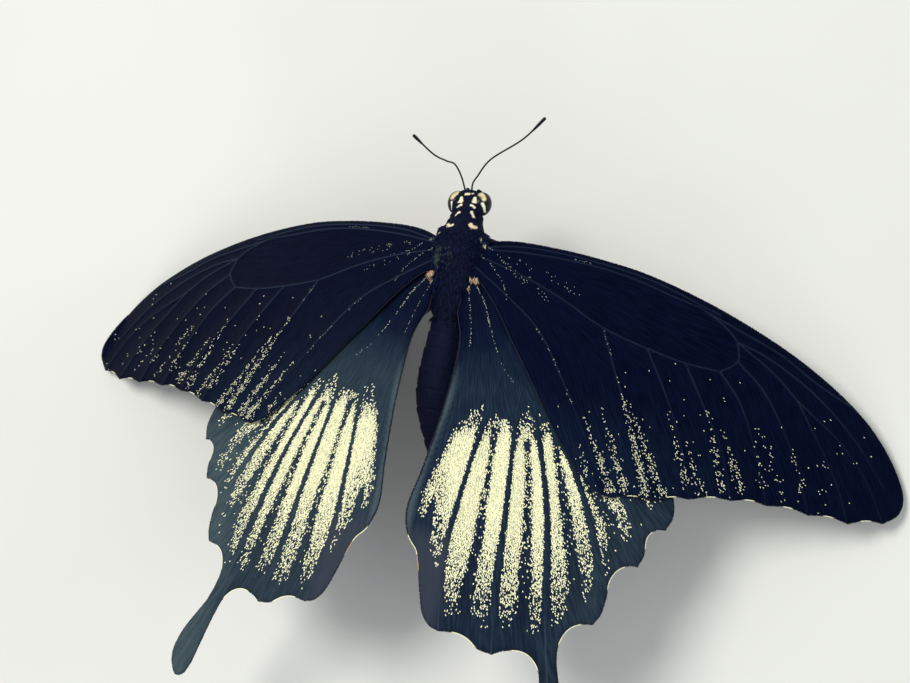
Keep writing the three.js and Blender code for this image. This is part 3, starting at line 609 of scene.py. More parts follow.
def flakes(roots, lie, normal, length, width, tilt):
    """Scales, each a thin closed shell that leans off the surface along its lie."""
    across = np.cross(normal, lie)
    up = normal * np.cos(tilt)[:, None] - lie * np.sin(tilt)[:, None]
    ahead = lie * np.cos(tilt)[:, None] + normal * np.sin(tilt)[:, None]
    shape = FLAKE[None]
    vertices = (
        roots[:, None]
        + ahead[:, None] * shape[..., 0:1] * length[:, None, None]
        + across[:, None] * shape[..., 1:2] * width[:, None, None]
        + up[:, None] * shape[..., 2:3] * width[:, None, None]
    )
    faces = FLAKE_FACES[None] + (np.arange(len(roots)) * len(FLAKE))[:, None, None]
    return vertices.reshape(-1, 3), faces.reshape(-1, 3)


def flake_uv(centres):
    """A small patch of the bake map for each scale, about its root's place on that map."""
    return (centres[:, None] + PATCH * (FLAKE[None, :, :2] - (0.5, 0))).reshape(-1, 2)


HAIR_RING = np.array([(0.5, -0.15), (-0.5, -0.15), (0, 0.45)])  # across and up, for a hair one wide
HAIR_FACES = np.array([
    (0, 2, 1), (0, 1, 4), (0, 4, 3), (1, 2, 5), (1, 5, 4), (2, 0, 3), (2, 3, 5), (3, 4, 6), (4, 5, 6),
    (5, 3, 6),
])
HAIR_POINTS = 7
HAIR_SPREAD = np.array([  # of these points on the bake map
    (-0.5, -0.5), (0.5, -0.5), (0, -0.4), (-0.3, 0), (0.3, 0), (0, 0.1), (0, 0.5),
])
HAIR_ROOT = 0.06  # depth under the skin
HAIR_TAPER = 0.8  # width left at the middle


def hairs(roots, lie, normal, length, width, lift, droop):
    """Hairs, each tapered to a tip. lift is the slope at the root, droop the slope lost by the tip."""
    across = np.cross(lie, normal)
    sunk = roots - normal * HAIR_ROOT
    slope = unit(lie + normal * lift[:, None])
    middle = sunk + slope * (0.5 * length)[:, None]
    slope = unit(lie + normal * (lift - droop)[:, None])
    tip = middle + slope * (0.5 * length)[:, None]
    ring = across[:, None] * HAIR_RING[None, :, 0:1] + normal[:, None] * HAIR_RING[None, :, 1:2]
    ring = ring * width[:, None, None]
    rings = (sunk[:, None] + ring, middle[:, None] + HAIR_TAPER * ring, tip[:, None])
    vertices = np.concatenate(rings, axis=1)
    faces = HAIR_FACES[None] + (np.arange(len(roots)) * HAIR_POINTS)[:, None, None]
    return vertices.reshape(-1, 3), faces.reshape(-1, 3)


# ---- Materials ----

def tint(red, green, blue):
    """A colour given in sRGB steps of 255, as linear light."""
    steps = [value / 255 for value in (red, green, blue)]
    return [s / 12.92 if s <= 0.04045 else ((s + 0.055) / 1.055) ** 2.4 for s in steps] + [1.0]


class Finish:
    """A material whose nodes are added by short calls."""

    def __init__(self, name):
        self.material = bpy.data.materials.new(name)
        self.material.use_nodes = True
        self.tree = self.material.node_tree
        self.tree.nodes.clear()

    def feed(self, socket, value):
        if isinstance(value, bpy.types.NodeSocket):
            self.tree.links.new(value, socket)
        else:
            socket.default_value = value

    def add(self, kind, inputs=None, **settings):
        node = self.tree.nodes.new("ShaderNode" + kind)
        for key, value in settings.items():
            setattr(node, key, value)
        for key, value in (inputs or {}).items():
            self.feed(node.inputs[key], value)
        return node

    def number(self, name):
        return self.add("Attribute", attribute_name=name).outputs["Fac"]

    def vector(self, name):
        return self.add("Attribute", attribute_name=name).outputs["Vector"]

    def span(self, value, low, high):
        node = self.add("MapRange", {"Value": value, "From Min": low, "From Max": high},
                        interpolation_type="SMOOTHSTEP")
        return node.outputs[0]

    def math(self, operation, a, b=0.0):
        return self.add("Math", {0: a, 1: b}, operation=operation).outputs[0]

    def mix(self, factor, a, b):
        return self.add("Mix", {0: factor, 6: a, 7: b}, data_type="RGBA").outputs[2]

    def scaled(self, vector, factors):
        return self.add("VectorMath", {0: vector, 1: factors}, operation="MULTIPLY").outputs[0]

    def noise(self, vector, scale, detail=3.0, roughness=0.5):
        inputs = {"Vector": vector, "Scale": scale, "Detail": detail, "Roughness": roughness}
        return self.add("TexNoise", inputs, noise_dimensions="3D").outputs["Fac"]

    def cells(self, vector, scale):
        return self.add("TexVoronoi", {"Vector": vector, "Scale": scale}, feature="F1").outputs["Distance"]

    def bump(self, height, depth, strength=1.0, normal=None):
        """depth is the height of the relief in mm where the input runs from 0 to 1."""
        inputs = {"Height": height, "Distance": depth * MM, "Strength": strength}
        if normal is not None:
            inputs["Normal"] = normal
        return self.add("Bump", inputs).outputs[0]

    def surface(self, **inputs):
        shader = self.add("BsdfPrincipled", {key.replace("_", " "): value for key, value in inputs.items()})
        output = self.add("OutputMaterial")
        self.tree.links.new(shader.outputs[0], output.inputs["Surface"])
        return self.material


def wing_finish():
    """Velvety scales: navy on the forewing, teal grey on the hindwing, a paler line along each vein."""
    f = Finish("wing_scales")
    lie = f.vector("lie")
    plan = f.vector("plan")
    fanned = f.noise(f.scaled(lie, (0.35, 6.0, 0.0)), 1.0, 4.0, 0.6)
    raked = f.noise(f.scaled(f.vector("rake"), (0.35, 6.0, 0.0)), 1.0, 4.0, 0.6)
    streaks = f.add("Mix", {0: f.number("outer"), 2: fanned, 3: raked}).outputs[0]
    patches = f.noise(plan, 0.35, 2.0)
    grain = f.cells(plan, 7.5)
    base = f.mix(f.number("teal"), tint(4, 6, 30), tint(28, 44, 60))
    dark = f.mix(f.number("teal"), tint(1, 2, 16), tint(12, 22, 40))
    colour = f.mix(f.span(streaks, 0.35, 0.68), dark, base)
    colour = f.mix(f.math("MULTIPLY", f.span(patches, 0.45, 0.75), 0.45), colour, dark)
    # the paler grey laid over the ground: painted sheen, partly the wings' own greyer tone
    grey_tone_and_sheen = f.mix(f.span(streaks, 0.3, 0.7), tint(54, 70, 78), tint(76, 91, 92))
    for name, share, paler in (
        ("grey_tone_and_sheen", 0.8, grey_tone_and_sheen), ("band", 0.75, tint(70, 86, 92)), ("corner", 0.8, tint(54, 59, 68)),
        ("line", 0.4, tint(66, 80, 98)), ("dust", 0.5, tint(240, 236, 188)),
    ):
        colour = f.mix(f.math("MULTIPLY", f.number(name), share), colour, paler)
    red = f.math("MULTIPLY", f.number("red"), f.span(streaks, 0.2, 0.5))
    colour = f.mix(red, colour, tint(150, 30, 26))
    colour = f.mix(f.number("under"), colour, f.mix(0.35, colour, tint(20, 20, 26)))
    grained = f.bump(grain, 0.035, 0.7)
    normal = f.bump(streaks, 0.05, 0.5, grained)
    return f.surface(
        Base_Color=colour, Roughness=0.55, Specular_IOR_Level=0.08, Specular_Tint=tint(110, 140, 235),
        Normal=normal,
    )


def flake_finish():
    """Cream scales, a few of them duller, and black ones in the fringe."""
    f = Finish("pale_scales")
    pale = f.mix(f.number("tone"), tint(104, 116, 122), tint(255, 253, 206))
    warm = f.mix(f.number("warm"), pale, tint(224, 120, 52))
    colour = f.mix(f.number("dark"), warm, tint(6, 9, 28))
    return f.surface(Base_Color=colour, Roughness=0.55, Specular_IOR_Level=0.2)


def skin_finish():
    """The body's dark cuticle under its hair."""
    f = Finish("body_skin")
    place = f.vector("place")
    grain = f.noise(place, 6.0, 4.0)
    colour = f.mix(f.span(grain, 0.35, 0.7), tint(2, 4, 26), tint(7, 13, 44))
    colour = f.mix(f.number("pale"), colour, f.mix(f.number("warm"), tint(245, 236, 200), tint(232, 132, 66)))
    normal = f.bump(f.cells(place, 8.0), 0.05, 0.8)
    return f.surface(Base_Color=colour, Roughness=0.65, Specular_IOR_Level=0.1, Normal=normal)


def fur_finish():
    """Glossy navy hairs, with cream, orange and grey ones among them."""
    f = Finish("body_fur")
    shade = f.number("tone")
    colour = f.mix(shade, tint(1, 3, 34), tint(32, 46, 76))
    pale = f.mix(f.number("warm"), tint(252, 246, 212), tint(232, 132, 66))
    colour = f.mix(f.number("grey"), colour, tint(84, 96, 92))
    colour = f.mix(f.number("pale"), colour, pale)
    return f.surface(
        Base_Color=colour, Roughness=0.55, Specular_IOR_Level=0.08, Specular_Tint=tint(140, 165, 235),
        Sheen_Weight=0.03, Sheen_Roughness=0.4,
    )


def eye_finish():
    """A dark compound eye with a painted reflection ahead, a tan patch, its facets a fine relief under a
    glossy skin.
    """
    f = Finish("compound_eye")
    place = f.vector("place")
    bands = f.noise(place, 1.3, 2.0)
    colour = f.mix(f.span(bands, 0.35, 0.65), tint(3, 5, 20), tint(10, 13, 34))
    # painted reflection: a tan to cream patch standing in for bright surroundings mirrored in the eye's front
    painted_reflection = f.mix(f.span(bands, 0.4, 0.6), tint(196, 180, 132), tint(240, 222, 178))
    colour = f.mix(f.number("patch"), colour, painted_reflection)
    colour = f.mix(f.number("pale"), colour, tint(250, 245, 212))
    normal = f.bump(f.cells(place, 26.0), 0.005, 0.4)
    return f.surface(Base_Color=colour, Roughness=0.35, Specular_IOR_Level=0.15, Coat_Weight=0.1,
                     Coat_Roughness=0.15, Normal=normal)


def shell_finish():
    """Horny black limbs and feelers with a fine scaly relief."""
    f = Finish("horn")
    place = f.vector("place")
    grain = f.noise(place, 5.0, 3.0)
    colour = f.mix(f.span(grain, 0.35, 0.7), tint(4, 5, 14), tint(18, 20, 36))
    normal = f.bump(f.cells(place, 14.0), 0.02, 0.6)
    return f.surface(Base_Color=colour, Roughness=0.45, Specular_IOR_Level=0.25, Normal=normal)


def floor_finish():
    """A matt, nearly white ground."""
    f = Finish("pale_floor")
    position = f.add("NewGeometry").outputs["Position"]
    cloud = f.noise(position, 14.0, 3.0)
    colour = f.mix(f.span(cloud, 0.3, 0.7), tint(214, 214, 208), tint(220, 220, 215))
    return f.surface(Base_Color=colour, Roughness=0.8, Specular_IOR_Level=0.2)


# ---- Wings ----

def forewing_notches():
    """The plan point of each notch of the forewing's margin, midway between two veins' ends."""
    ends = list(FOREWING_ENDS.values())
    return [((a[0] + b[0]) / 2, (a[1] + b[1]) / 2 + FOREWING_NOTCH_DEPTH) for a, b in zip(ends, ends[1:])]


def forewing_runs():
    """The forewing's outline in runs: its front margin, scallops from vein to vein, and its hind margin."""
    ends = list(FOREWING_ENDS.values())
    scallops = [list(scallop) for scallop in zip(ends, forewing_notches(), ends[1:])]
    return [FOREWING_COSTA + [ends[0]], *scallops, [ends[-1]] + FOREWING_INNER_MARGIN + [FOREWING_COSTA[0]]]


def forewing_folds():
    """Lines midway between neighbouring veins, out to the notches."""
    names = list(FOREWING_ENDS)
    folds = []
    for a, b in zip(names, names[1:]):
        first, second = (smooth(FOREWING_VEINS[name], FOLD_STEP)[::-1][:FOLD_POINTS] for name in (a, b))
        count = min(len(first), len(second))
        middle = (first[:count] + second[:count]) / 2
        middle[0, 1] += FOREWING_NOTCH_DEPTH
        folds.append(middle)
    return folds


def make_wing(kind):
    """The plan of one kind of wing: outline, vein lines and fold lines."""
    if kind == "forewing":
        runs = forewing_runs()
        veins = FOREWING_VEINS
        folds = forewing_folds()
    else:
        runs = HINDWING_MARGIN + [[HINDWING_MARGIN[-1][-1], HINDWING_MARGIN[0][0]]]
        veins = HINDWING_VEINS
        folds = [smooth(line, FOLD_STEP) for line in HINDWING_FOLDS]
    return {
        "kind": kind,
        "outline": np.vstack([smooth(run, OUTLINE_STEP)[:-1] for run in runs]),
        "veins": [smooth(line, VEIN_STEP) for line in veins.values()],
        "clean": [smooth(veins[name], VEIN_STEP) for name in veins if (kind, name) != DUSTY_VEIN],
        "folds": folds,
    }


def wing_height(x, y):
    """Height of the wings' shared surface over the body plane."""
    level = WING_RISE - WING_DROOP * x - WING_SLOPE * y
    return level - WING_ARCH * x ** 2 - WING_TWIST * x * y - WING_SAG * y ** 2


def wing_place(kind, side, plan, lift):
    """Plan points of a wing, lifted off its middle surface, in the insect's frame."""
    stretch = WING_STRETCH[kind, side]
    along_tail = np.maximum(0, (plan[:, 1] - TAIL_ROOT) / (TAIL_TIP - TAIL_ROOT))
    x = plan[:, 0] * stretch[0] + TAIL_SPLAY[side] * along_tail
    y = plan[:, 1] * stretch[1]
    points = np.column_stack([x, y, wing_height(x, y) + WING_STAGGER[kind] + lift])
    turn = Matrix.Identity(3)
    for name, axis in (("pitch", "X"), ("droop", "Y"), ("sweep", "Z")):
        turn = turn @ Matrix.Rotation(math.radians(WING_CARRIAGE[side][name]), 3, axis)
    points = (points - WING_HINGE) @ np.array(turn).T + WING_HINGE
    lowest = floor_under(points[:, 1]) + np.maximum(FLOOR_CLEARANCE + lift, LEAST_CLEARANCE)
    points[:, 2] = np.maximum(points[:, 2], lowest)
    return points * MIRROR[side]


def polar(plan):
    """Direction in degrees and distance in mm of plan points from the pole of the dusting."""
    x, y = (plan - DUST_POLE).T
    return np.degrees(np.arctan2(x, -y)), np.hypot(x, y)


def inner_band(wing, plan):
    """1 on the rolled strip along the hindwing's inner margin, 0 elsewhere."""
    if wing["kind"] == "forewing":
        return np.zeros(len(plan))
    edge = lookup(INNER_BAND, plan[:, 1])
    reach = smoothstep(plan[:, 1], -31.5, -29) * smoothstep(-plan[:, 1], 4, 8)
    return (1 - smoothstep(plan[:, 0], edge - 0.25, edge + 0.25)) * reach


def measures(wing, plan):
    """Distances in mm of plan points from the wing's veins, folds and margin."""
    margin = np.vstack([wing["outline"], wing["outline"][:1]])
    return {
        "vein": distance_to(plan, wing["veins"]),
        "clean": distance_to(plan, wing["clean"]),
        "fold": distance_to(plan, wing["folds"]),
        "margin": distance_to(plan, [margin]),
    }


def relief(wing, plan, gap):
    """Height of the wing's pleats and of the roll along its inner margin."""
    pleat = (gap["fold"] - gap["vein"]) / (gap["fold"] + gap["vein"] + 0.05)
    reach = np.hypot(plan[:, 0], plan[:, 1])
    strength = smoothstep(reach, 6, 20) * smoothstep(gap["margin"], -0.5, 2.5)
    roll = inner_band(wing, plan) * np.sin(np.clip(gap["margin"] / ROLL_WIDTH, 0, 1) * math.pi)
    return PLEAT_DEPTH[wing["kind"]] * pleat * strength + ROLL_HEIGHT * roll


def ridge(gap):
    """Height of the veins over the membrane."""
    return RIDGE_HEIGHT * np.clip(1 - (gap["vein"] / RIDGE_HALF_WIDTH) ** 2, 0, 1)


def wing_sheet(wing):
    """Plan points and triangles of a wing's mesh, closer together along the veins."""
    outline = wing["outline"]
    rim = outline - outward_of(outline, outline) * OUTLINE_INSET
    rows = []
    for line in wing["veins"]:
        heading = unit(np.gradient(line, axis=0))
        beside = np.column_stack([-heading[:, 1], heading[:, 0]])
        rows.extend(line + beside * offset for offset in VEIN_OFFSETS)
    rows = np.vstack(rows)
    closed = np.vstack([rim, rim[:1]])
    rows = rows[is_inside(rows, rim) & (distance_to(rows, [closed]) > RIM_GAP)]
    fill = hex_grid(outline.min(0), outline.max(0), FILL_STEP)
    fill = fill[is_inside(fill, rim)]
    clear = (distance_to(fill, wing["veins"]) > FILL_VEIN_GAP) & (distance_to(fill, [closed]) > FILL_RIM_GAP)
    coordinates = [Vector(point) for point in np.vstack([rim, rows, fill[clear]])]
    points, _, faces, *_ = delaunay_2d_cdt(coordinates, [], [list(range(len(rim)))], 1, 1e-4, False)
    faces = np.array(faces)
    points = np.array([tuple(point) for point in points])
    a, b, c = points[faces[:, 0]], points[faces[:, 1]], points[faces[:, 2]]
    within = is_inside((a + b + c) / 3, rim)
    flipped = np.cross(b - a, c - a) < 0
    faces[flipped] = faces[flipped][:, ::-1]
    return points, faces[within]


def rim_edges(faces):
    """The directed edges that only one triangle has."""
    edges = np.vstack([faces[:, [0, 1]], faces[:, [1, 2]], faces[:, [2, 0]]])
    known = {tuple(edge) for edge in edges.tolist()}
    return np.array([edge for edge in edges.tolist() if (edge[1], edge[0]) not in known])


def wing_looks(wing, side, plan, gap):
    """What the wing's material reads, for the points of the upper face and then those of the lower.

    These are the directions of its streaks and how far each of its tints shows.
    """
    kind = wing["kind"]
    out, back = plan[:, 0], -plan[:, 1]
    none = np.zeros(len(plan))
    fan = np.arctan2(out - FAN_POLE[0], back + FAN_POLE[1]) * FAN_SCALE
    both_faces = {
        "plan": np.column_stack([plan, none]),
        "lie": np.column_stack([np.hypot(out - FAN_POLE[0], back), fan, none]),
        "rake": np.column_stack([back, out - RAKE * back, none]),
        "outer": smoothstep(back + 0.12 * out, 7, 12) * (kind == "forewing"),
        "line": smoothstep(-gap["vein"], -0.14, -0.03) * line_of(kind, side, plan),
        "band": inner_band(wing, plan) * smoothstep(back, 9, 14),
        "teal": teal_of(kind, plan, gap),
        # share of paler grey: painted sheen, partly the wing's own tone, stronger on the left side
        "grey_tone_and_sheen": grey_tone_and_sheen_of(kind, side, plan),
        "corner": smoothstep(-out, -9.5, -7) * smoothstep(back, 28, 31) * (kind == "hindwing"),
    }
    values = {key: np.concatenate([value, value]) for key, value in both_faces.items()}
    values["under"] = np.concatenate([none, none + 1])
    values["red"] = np.concatenate([none, red_of(kind, plan, gap)])
    share = hindwing_dust(plan, gap, none + 0.5, none + 0.5) if kind == "hindwing" else none
    values["dust"] = np.concatenate([smoothstep(share, 0.7, 1.05), none])
    return values


def add_wing(wing, side, sheet, material):
    """One wing as a thin closed sheet with raised veins and pleats."""
    kind = wing["kind"]
    plan, faces = sheet
    gap = measures(wing, plan)
    form = relief(wing, plan, gap)
    upper = wing_place(kind, side, plan, form + SHEET_HALF + ridge(gap))
    lower = wing_place(kind, side, plan, form - SHEET_HALF - ridge(gap))
    vertices = np.vstack([upper, lower])
    count = len(plan)
    a, b = rim_edges(faces).T
    rim = np.vstack([np.column_stack([a, count + a, count + b]), np.column_stack([a, count + b, b])])
    faces = np.vstack([faces, faces[:, ::-1] + count, rim])
    if side == "left":
        faces = faces[:, ::-1]
    looks = wing_looks(wing, side, plan, gap)
    piece = make_piece(f"wing_{kind}_{side}", vertices, faces, material, "scales", len(rim), looks)
    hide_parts(f"{kind}_{side}")


def line_of(kind, side, plan):
    """How clearly the paler axis of a vein shows, from 0 to 1."""
    if kind == "hindwing":
        return 0.15 + 0.85 * smoothstep(-plan[:, 1], 34, 42)
    return (0.15 + 0.3 * (1 - smoothstep(-plan[:, 1], 7, 14))) * (1.6 if side == "left" else 1.0)


def teal_of(kind, plan, gap):
    """How far the ground colour goes from navy to teal."""
    if kind == "hindwing":
        _, distance = polar(plan)
        far = smoothstep(distance, 24, 38)
        beside_fold = far * (1 - smoothstep(gap["fold"], 0.3, 1.1)) * smoothstep(gap["margin"], 0.5, 3)
        near = 1 - smoothstep(distance, 2, 11)
        return 0.8 - 0.55 * near - 0.45 * beside_fold - 0.3 * smoothstep(-gap["margin"], -1.2, -0.1)
    inner = smoothstep(-plan[:, 1], 9, 21) * smoothstep(-plan[:, 0], -42, -18)
    return 0.1 + 0.35 * inner * smoothstep(gap["vein"], 0.2, 1.4) + 0.25 * inner


def grey_tone_and_sheen_of(kind, side, plan):
    """Paler grey over the ground, partly the wing's own tone and partly painted sheen: most on the outer
    hindwing; the left side's extra, and all of the forewing's, is painted sheen.
    """
    if kind == "forewing":
        return 0.05 * smoothstep(-plan[:, 1], 0, 12) * smoothstep(-plan[:, 0], -28, -12) * (side == "left")
    outer = smoothstep(plan[:, 0], 16, 25) * smoothstep(-plan[:, 1], 16, 26)
    middle = smoothstep(-plan[:, 1], 6, 14)
    tail = smoothstep(-plan[:, 1], 36, 46)
    return np.maximum(outer, np.maximum(0.4 * middle, 0.6 * tail)) * (1.0 if side == "left" else 0.3)


def red_of(kind, plan, gap):
    """The red patches at the wing bases, on the underside only."""
    reach = np.hypot(plan[:, 0], plan[:, 1] - 1)
    limit = 9.0 if kind == "hindwing" else 12.5
    return smoothstep(-reach, -limit, -limit + 2.5) * smoothstep(gap["vein"], 0.3, 0.6)


# ---- Pale scales ----

DUST_OUT = (15, 40)  # distances from the pole between which the bare strips widen
DUST_CLOUD = 1.4  # mm by which its outer end wavers
DUST_SPARSE = 0.12  # share that stands before the dense start
DUST_LATE = 2.6  # mm by which a vein or fold delays the dense start
DUST_RISE = 3.4  # mm from the dense start to the full density
DUST_FADE = 15  # mm over which the dusting thins out to its end
VEIN_STRIP = (0.2, 0.53)  # half width of the bare strip along a vein, at the two distances,
FOLD_STRIP = (0.2, 0.82)  # and along a fold
FOLD_BRIDGE = 0.34  # share that bridges a fold's bare strip near the base
DUST_STEP = 0.122
DUST_JITTER = 0.42  # of a step
MARGIN_BARE = 0.3  # no scale is strewn nearer to the margin, where the fringe is
FRAME_STEP = 0.05  # to the neighbouring points that give a scale's lie and normal
FRINGE_STEP = 0.11
ROW_SHIFT = 1e-4  # keeps the fringe's two rows off the same points
FOREWING_LIE_POLE = (8, 14)  # the forewing's strewn scales point away from here


def hindwing_dust(plan, gap, cloud, speckle):
    """Share of the places that hold a pale scale on the hindwing.

    The dusting begins sparsely, turns dense, later beside veins and folds, and thins out to its end. Bare
    strips run along the veins and folds, and speckles bridge those of the folds near the base.
    """
    angle, distance = polar(plan)
    dense = lookup(DUST_DENSE, angle)
    beside = np.minimum(gap["clean"] - 0.1, gap["fold"])
    start = dense + DUST_LATE * (1 - smoothstep(beside, 0, 0.9)) - 1.0
    sparse = smoothstep(distance, lookup(DUST_FIRST, angle) - 0.5, dense)
    begin = DUST_SPARSE * sparse + (1 - DUST_SPARSE) * smoothstep(distance, start, start + DUST_RISE)
    end = lookup(DUST_ENDS, angle) + DUST_CLOUD * (cloud - 0.5)
    fade = np.clip((end - distance) / DUST_FADE, 0, 1)
    strip = np.interp(distance, DUST_OUT, VEIN_STRIP)
    beside_vein = smoothstep(gap["clean"], strip - 0.1, strip + 0.22)
    strip = np.interp(distance, DUST_OUT, FOLD_STRIP)
    bridge = np.interp(distance, DUST_OUT, (FOLD_BRIDGE, 0)) * smoothstep(speckle, 0.4, 0.6)
    beside_fold = np.maximum(smoothstep(gap["fold"], strip - 0.22, strip + 0.4), bridge)
    edge = lookup(DUST_INNER_EDGE, plan[:, 1])
    inner = smoothstep(plan[:, 0], edge - 0.3, edge + 0.9)
    oval = smoothstep(within_oval(plan, DARK_OVAL), 0.8, 1.2)
    mottle = 0.86 + 0.14 * smoothstep(speckle, 0.1, 0.5)
    return 1.2 * begin * fade * beside_vein * beside_fold * inner * oval * mottle


def along_line(plan, line):
    """How far along a polyline each plan point lies, from 0 to 1, and its distance from it."""
    line = spaced(np.array(line, float), 0.2)
    gap = np.linalg.norm(plan[:, None] - line, axis=2)
    return gap.argmin(1) / (len(line) - 1), gap.min(1)


def forewing_dust(plan, speckle):
    """Share of the places that hold a pale scale on the forewing: sparse streaks beside the veins."""
    total = 0.002 * smoothstep(-plan[:, 1], 2, 14)
    for start, end, share in FOREWING_STREAKS:
        near = np.abs(plan - (np.add(start, end) / 2)).max(1) < 8
        t, away = along_line(plan[near], [start, end])
        half = STREAK_HALF_WIDTH[0] + (STREAK_HALF_WIDTH[1] - STREAK_HALF_WIDTH[0]) * t
        core = np.exp(-(away / half) ** 2)
        total[near] += core * share * (0.25 + 0.6 * t) * (0.4 + 0.65 * smoothstep(speckle[near], 0.3, 0.7))
    return np.minimum(total, 0.95)


def flecks(wing, plan):
    """Share of the places that hold a pale scale in the lines of flecks at the wing's base."""
    total = np.zeros(len(plan))
    for line, half, share in FLECK_LINES[wing["kind"]]:
        _, away = along_line(plan, line)
        total = np.maximum(total, share * (away < half))
    return total


def speckle_noise(plan, seed, fineness):
    """A slowly varying random number from 0 to 1 at each plan point."""
    rng = np.random.default_rng(seed)
    waves = rng.normal(0, fineness, (24, 2))
    phases = rng.uniform(0, 2 * math.pi, 24)
    total = np.cos(plan @ waves.T + phases).sum(1) / math.sqrt(12)
    return 1 / (1 + np.exp(-1.6 * total))


def surface_frames(wing, side, plan, lie_plan, gap):
    """Roots on a wing's upper face with the direction of lie and the outward normal there."""
    kind = wing["kind"]
    lift = relief(wing, plan, gap) + SHEET_HALF + ridge(gap)
    roots = wing_place(kind, side, plan, lift)
    lie = unit(wing_place(kind, side, plan + FRAME_STEP * lie_plan, lift) - roots)
    cross_plan = np.column_stack([-lie_plan[:, 1], lie_plan[:, 0]])
    beside = wing_place(kind, side, plan + FRAME_STEP * cross_plan, lift) - roots
    normal = unit(np.cross(lie, beside))
    normal[normal[:, 2] < 0] *= -1
    return roots, lie, normal


def strewn_places(wing, seed, rng):
    """The pale scales strewn over a wing: plan points, whether each is a fleck, and their distances."""
    outline = wing["outline"]
    grid = hex_grid(outline.min(0), outline.max(0), DUST_STEP)
    plan = grid + rng.uniform(-DUST_JITTER, DUST_JITTER, grid.shape) * DUST_STEP
    draw = rng.uniform(0, 1, len(plan))
    inside = is_inside(plan, outline)
    plan = plan[inside]
    gap = measures(wing, plan)
    speckle = speckle_noise(plan, seed + 1, 7.0)
    if wing["kind"] == "hindwing":
        share = hindwing_dust(plan, gap, speckle_noise(plan, seed, 1.6), speckle)
    else:
        share = forewing_dust(plan, speckle)
    fleck_share = flecks(wing, plan)
    keep = (draw[inside] < np.maximum(share, fleck_share)) & (gap["margin"] > MARGIN_BARE)
    return plan[keep], (fleck_share > share)[keep], {key: value[keep] for key, value in gap.items()}


def add_dust(wing, side, material, seed):
    """The pale scales strewn over a wing, and the fringe round its margin."""
    kind = wing["kind"]
    rng = np.random.default_rng(seed)
    plan, is_fleck, gap = strewn_places(wing, seed, rng)
    count = len(plan)
    pole = DUST_POLE if kind == "hindwing" else FOREWING_LIE_POLE
    lie_plan = swung(unit(plan - pole), rng.normal(0, 0.22, count))
    roots, lie, normal = surface_frames(wing, side, plan, lie_plan, gap)
    faint = is_fleck * 0.6 if kind == "hindwing" else 0.2 + 0.5 * is_fleck
    size = 1 - 0.22 * (faint > 0) - 0.2 * is_fleck
    length = rng.uniform(0.2, 0.3, count) * size
    width = rng.uniform(0.1, 0.14, count) * size
    strewn = flakes(roots, lie, normal, length, width, rng.uniform(0.06, 0.3, count))
    tone = (1 - 0.6 * rng.uniform(0, 1, count) ** 3) * (1 - faint)
    fringe, fringe_plan, fringe_pale, fringe_warm = fringe_scales(wing, side, rng)
    vertices, faces = join([strewn, fringe])
    uv = flake_uv((np.vstack([plan, fringe_plan]) - WING_MAP["corner"]) * (1, -1) / WING_MAP["size"])
    none = np.zeros(count)
    values = {
        "tone": np.concatenate([tone, np.full(len(fringe_plan), 0.9)]),
        "warm": np.concatenate([none, fringe_warm]),
        "dark": np.concatenate([none, 1 - fringe_pale]),
    }
    values = {key: np.repeat(value, len(FLAKE)) for key, value in values.items()}
    make_piece(f"scales_{kind}_{side}", vertices, faces, material, "scales", len(faces), values, uv)


# Pale arcs of the fringe: plan point at the middle of each, and its half length.
HINDWING_ARCS = [((29.0, -26.3), 1.0), ((26.4, -30.9), 1.5), ((22.9, -37.8), 1.6), ((19.2, -41.2), 1.9),
                 ((11.9, -40.4), 1.6), ((3.5, -31.2), 1.3)]
FOREWING_ARC_HALF = 0.5
WARM_SPOT = (4.7, -33)  # of the hindwing's fringe


def fringe_scales(wing, side, rng):
    """Two rows of narrow scales that point outwards round the margin, pale in its notches."""
    outline = spaced(np.vstack([wing["outline"], wing["outline"][:1]]), FRINGE_STEP)[:-1]
    outline = np.vstack([outline, outline + ROW_SHIFT])
    outward = outward_of(outline, wing["outline"])
    count = len(outline)
    pale = np.zeros(count)
    warm = np.zeros(count)
    arcs = [(notch, FOREWING_ARC_HALF) for notch in forewing_notches()]
    if wing["kind"] == "hindwing":
        arcs = HINDWING_ARCS
        warm = 0.7 * (1 - smoothstep(np.hypot(*(outline - WARM_SPOT).T), 0.5, 1.2))
    for middle, half in arcs:
        pale = np.maximum(pale, 1 - smoothstep(np.hypot(*(outline - middle).T), half - 0.15, half + 0.15))
    pale = np.maximum(pale, warm)
    depth = rng.uniform(0.27, 0.34, count)
    plan = outline - outward * depth[:, None]
    gap = measures(wing, plan)
    lie_plan = swung(outward, rng.normal(0, 0.14, count))
    roots, lie, normal = surface_frames(wing, side, plan, lie_plan, gap)
    roots = roots - normal * SHEET_HALF * 0.9
    length = np.minimum(rng.uniform(0.26, 0.36, count), depth * 0.96)
    width = rng.uniform(0.09, 0.13, count)
    shapes = flakes(roots, lie, normal, length, width, rng.uniform(-0.02, 0.1, count))
    return shapes, plan, pale, warm


# ---- Body skin ----

def eased_profile(points, step):
    """A profile with more points, smooth between the given ones."""
    fine = smooth(points, step)
    fine[:, 1] = np.maximum(fine[:, 1], LEAST_RADIUS)
    return fine


def abdomen_profile():
    """The abdomen's profile with a groove between its segments and a lip behind each groove."""
    fine = eased_profile([ABDOMEN_TIP] + ABDOMEN_GIRTH + [ABDOMEN_ROOT], 0.1)
    y, r = fine.T
    for groove in ABDOMEN_GROOVES:
        r -= GROOVE["depth"] * np.exp(-((y - groove) / GROOVE["width"]) ** 2) * (r > GROOVED_RADIUS)
        lip = np.exp(-((y - groove + LIP["behind"]) / LIP["width"]) ** 2)
        r += LIP["height"] * lip * (r > GROOVED_RADIUS)
    return fine


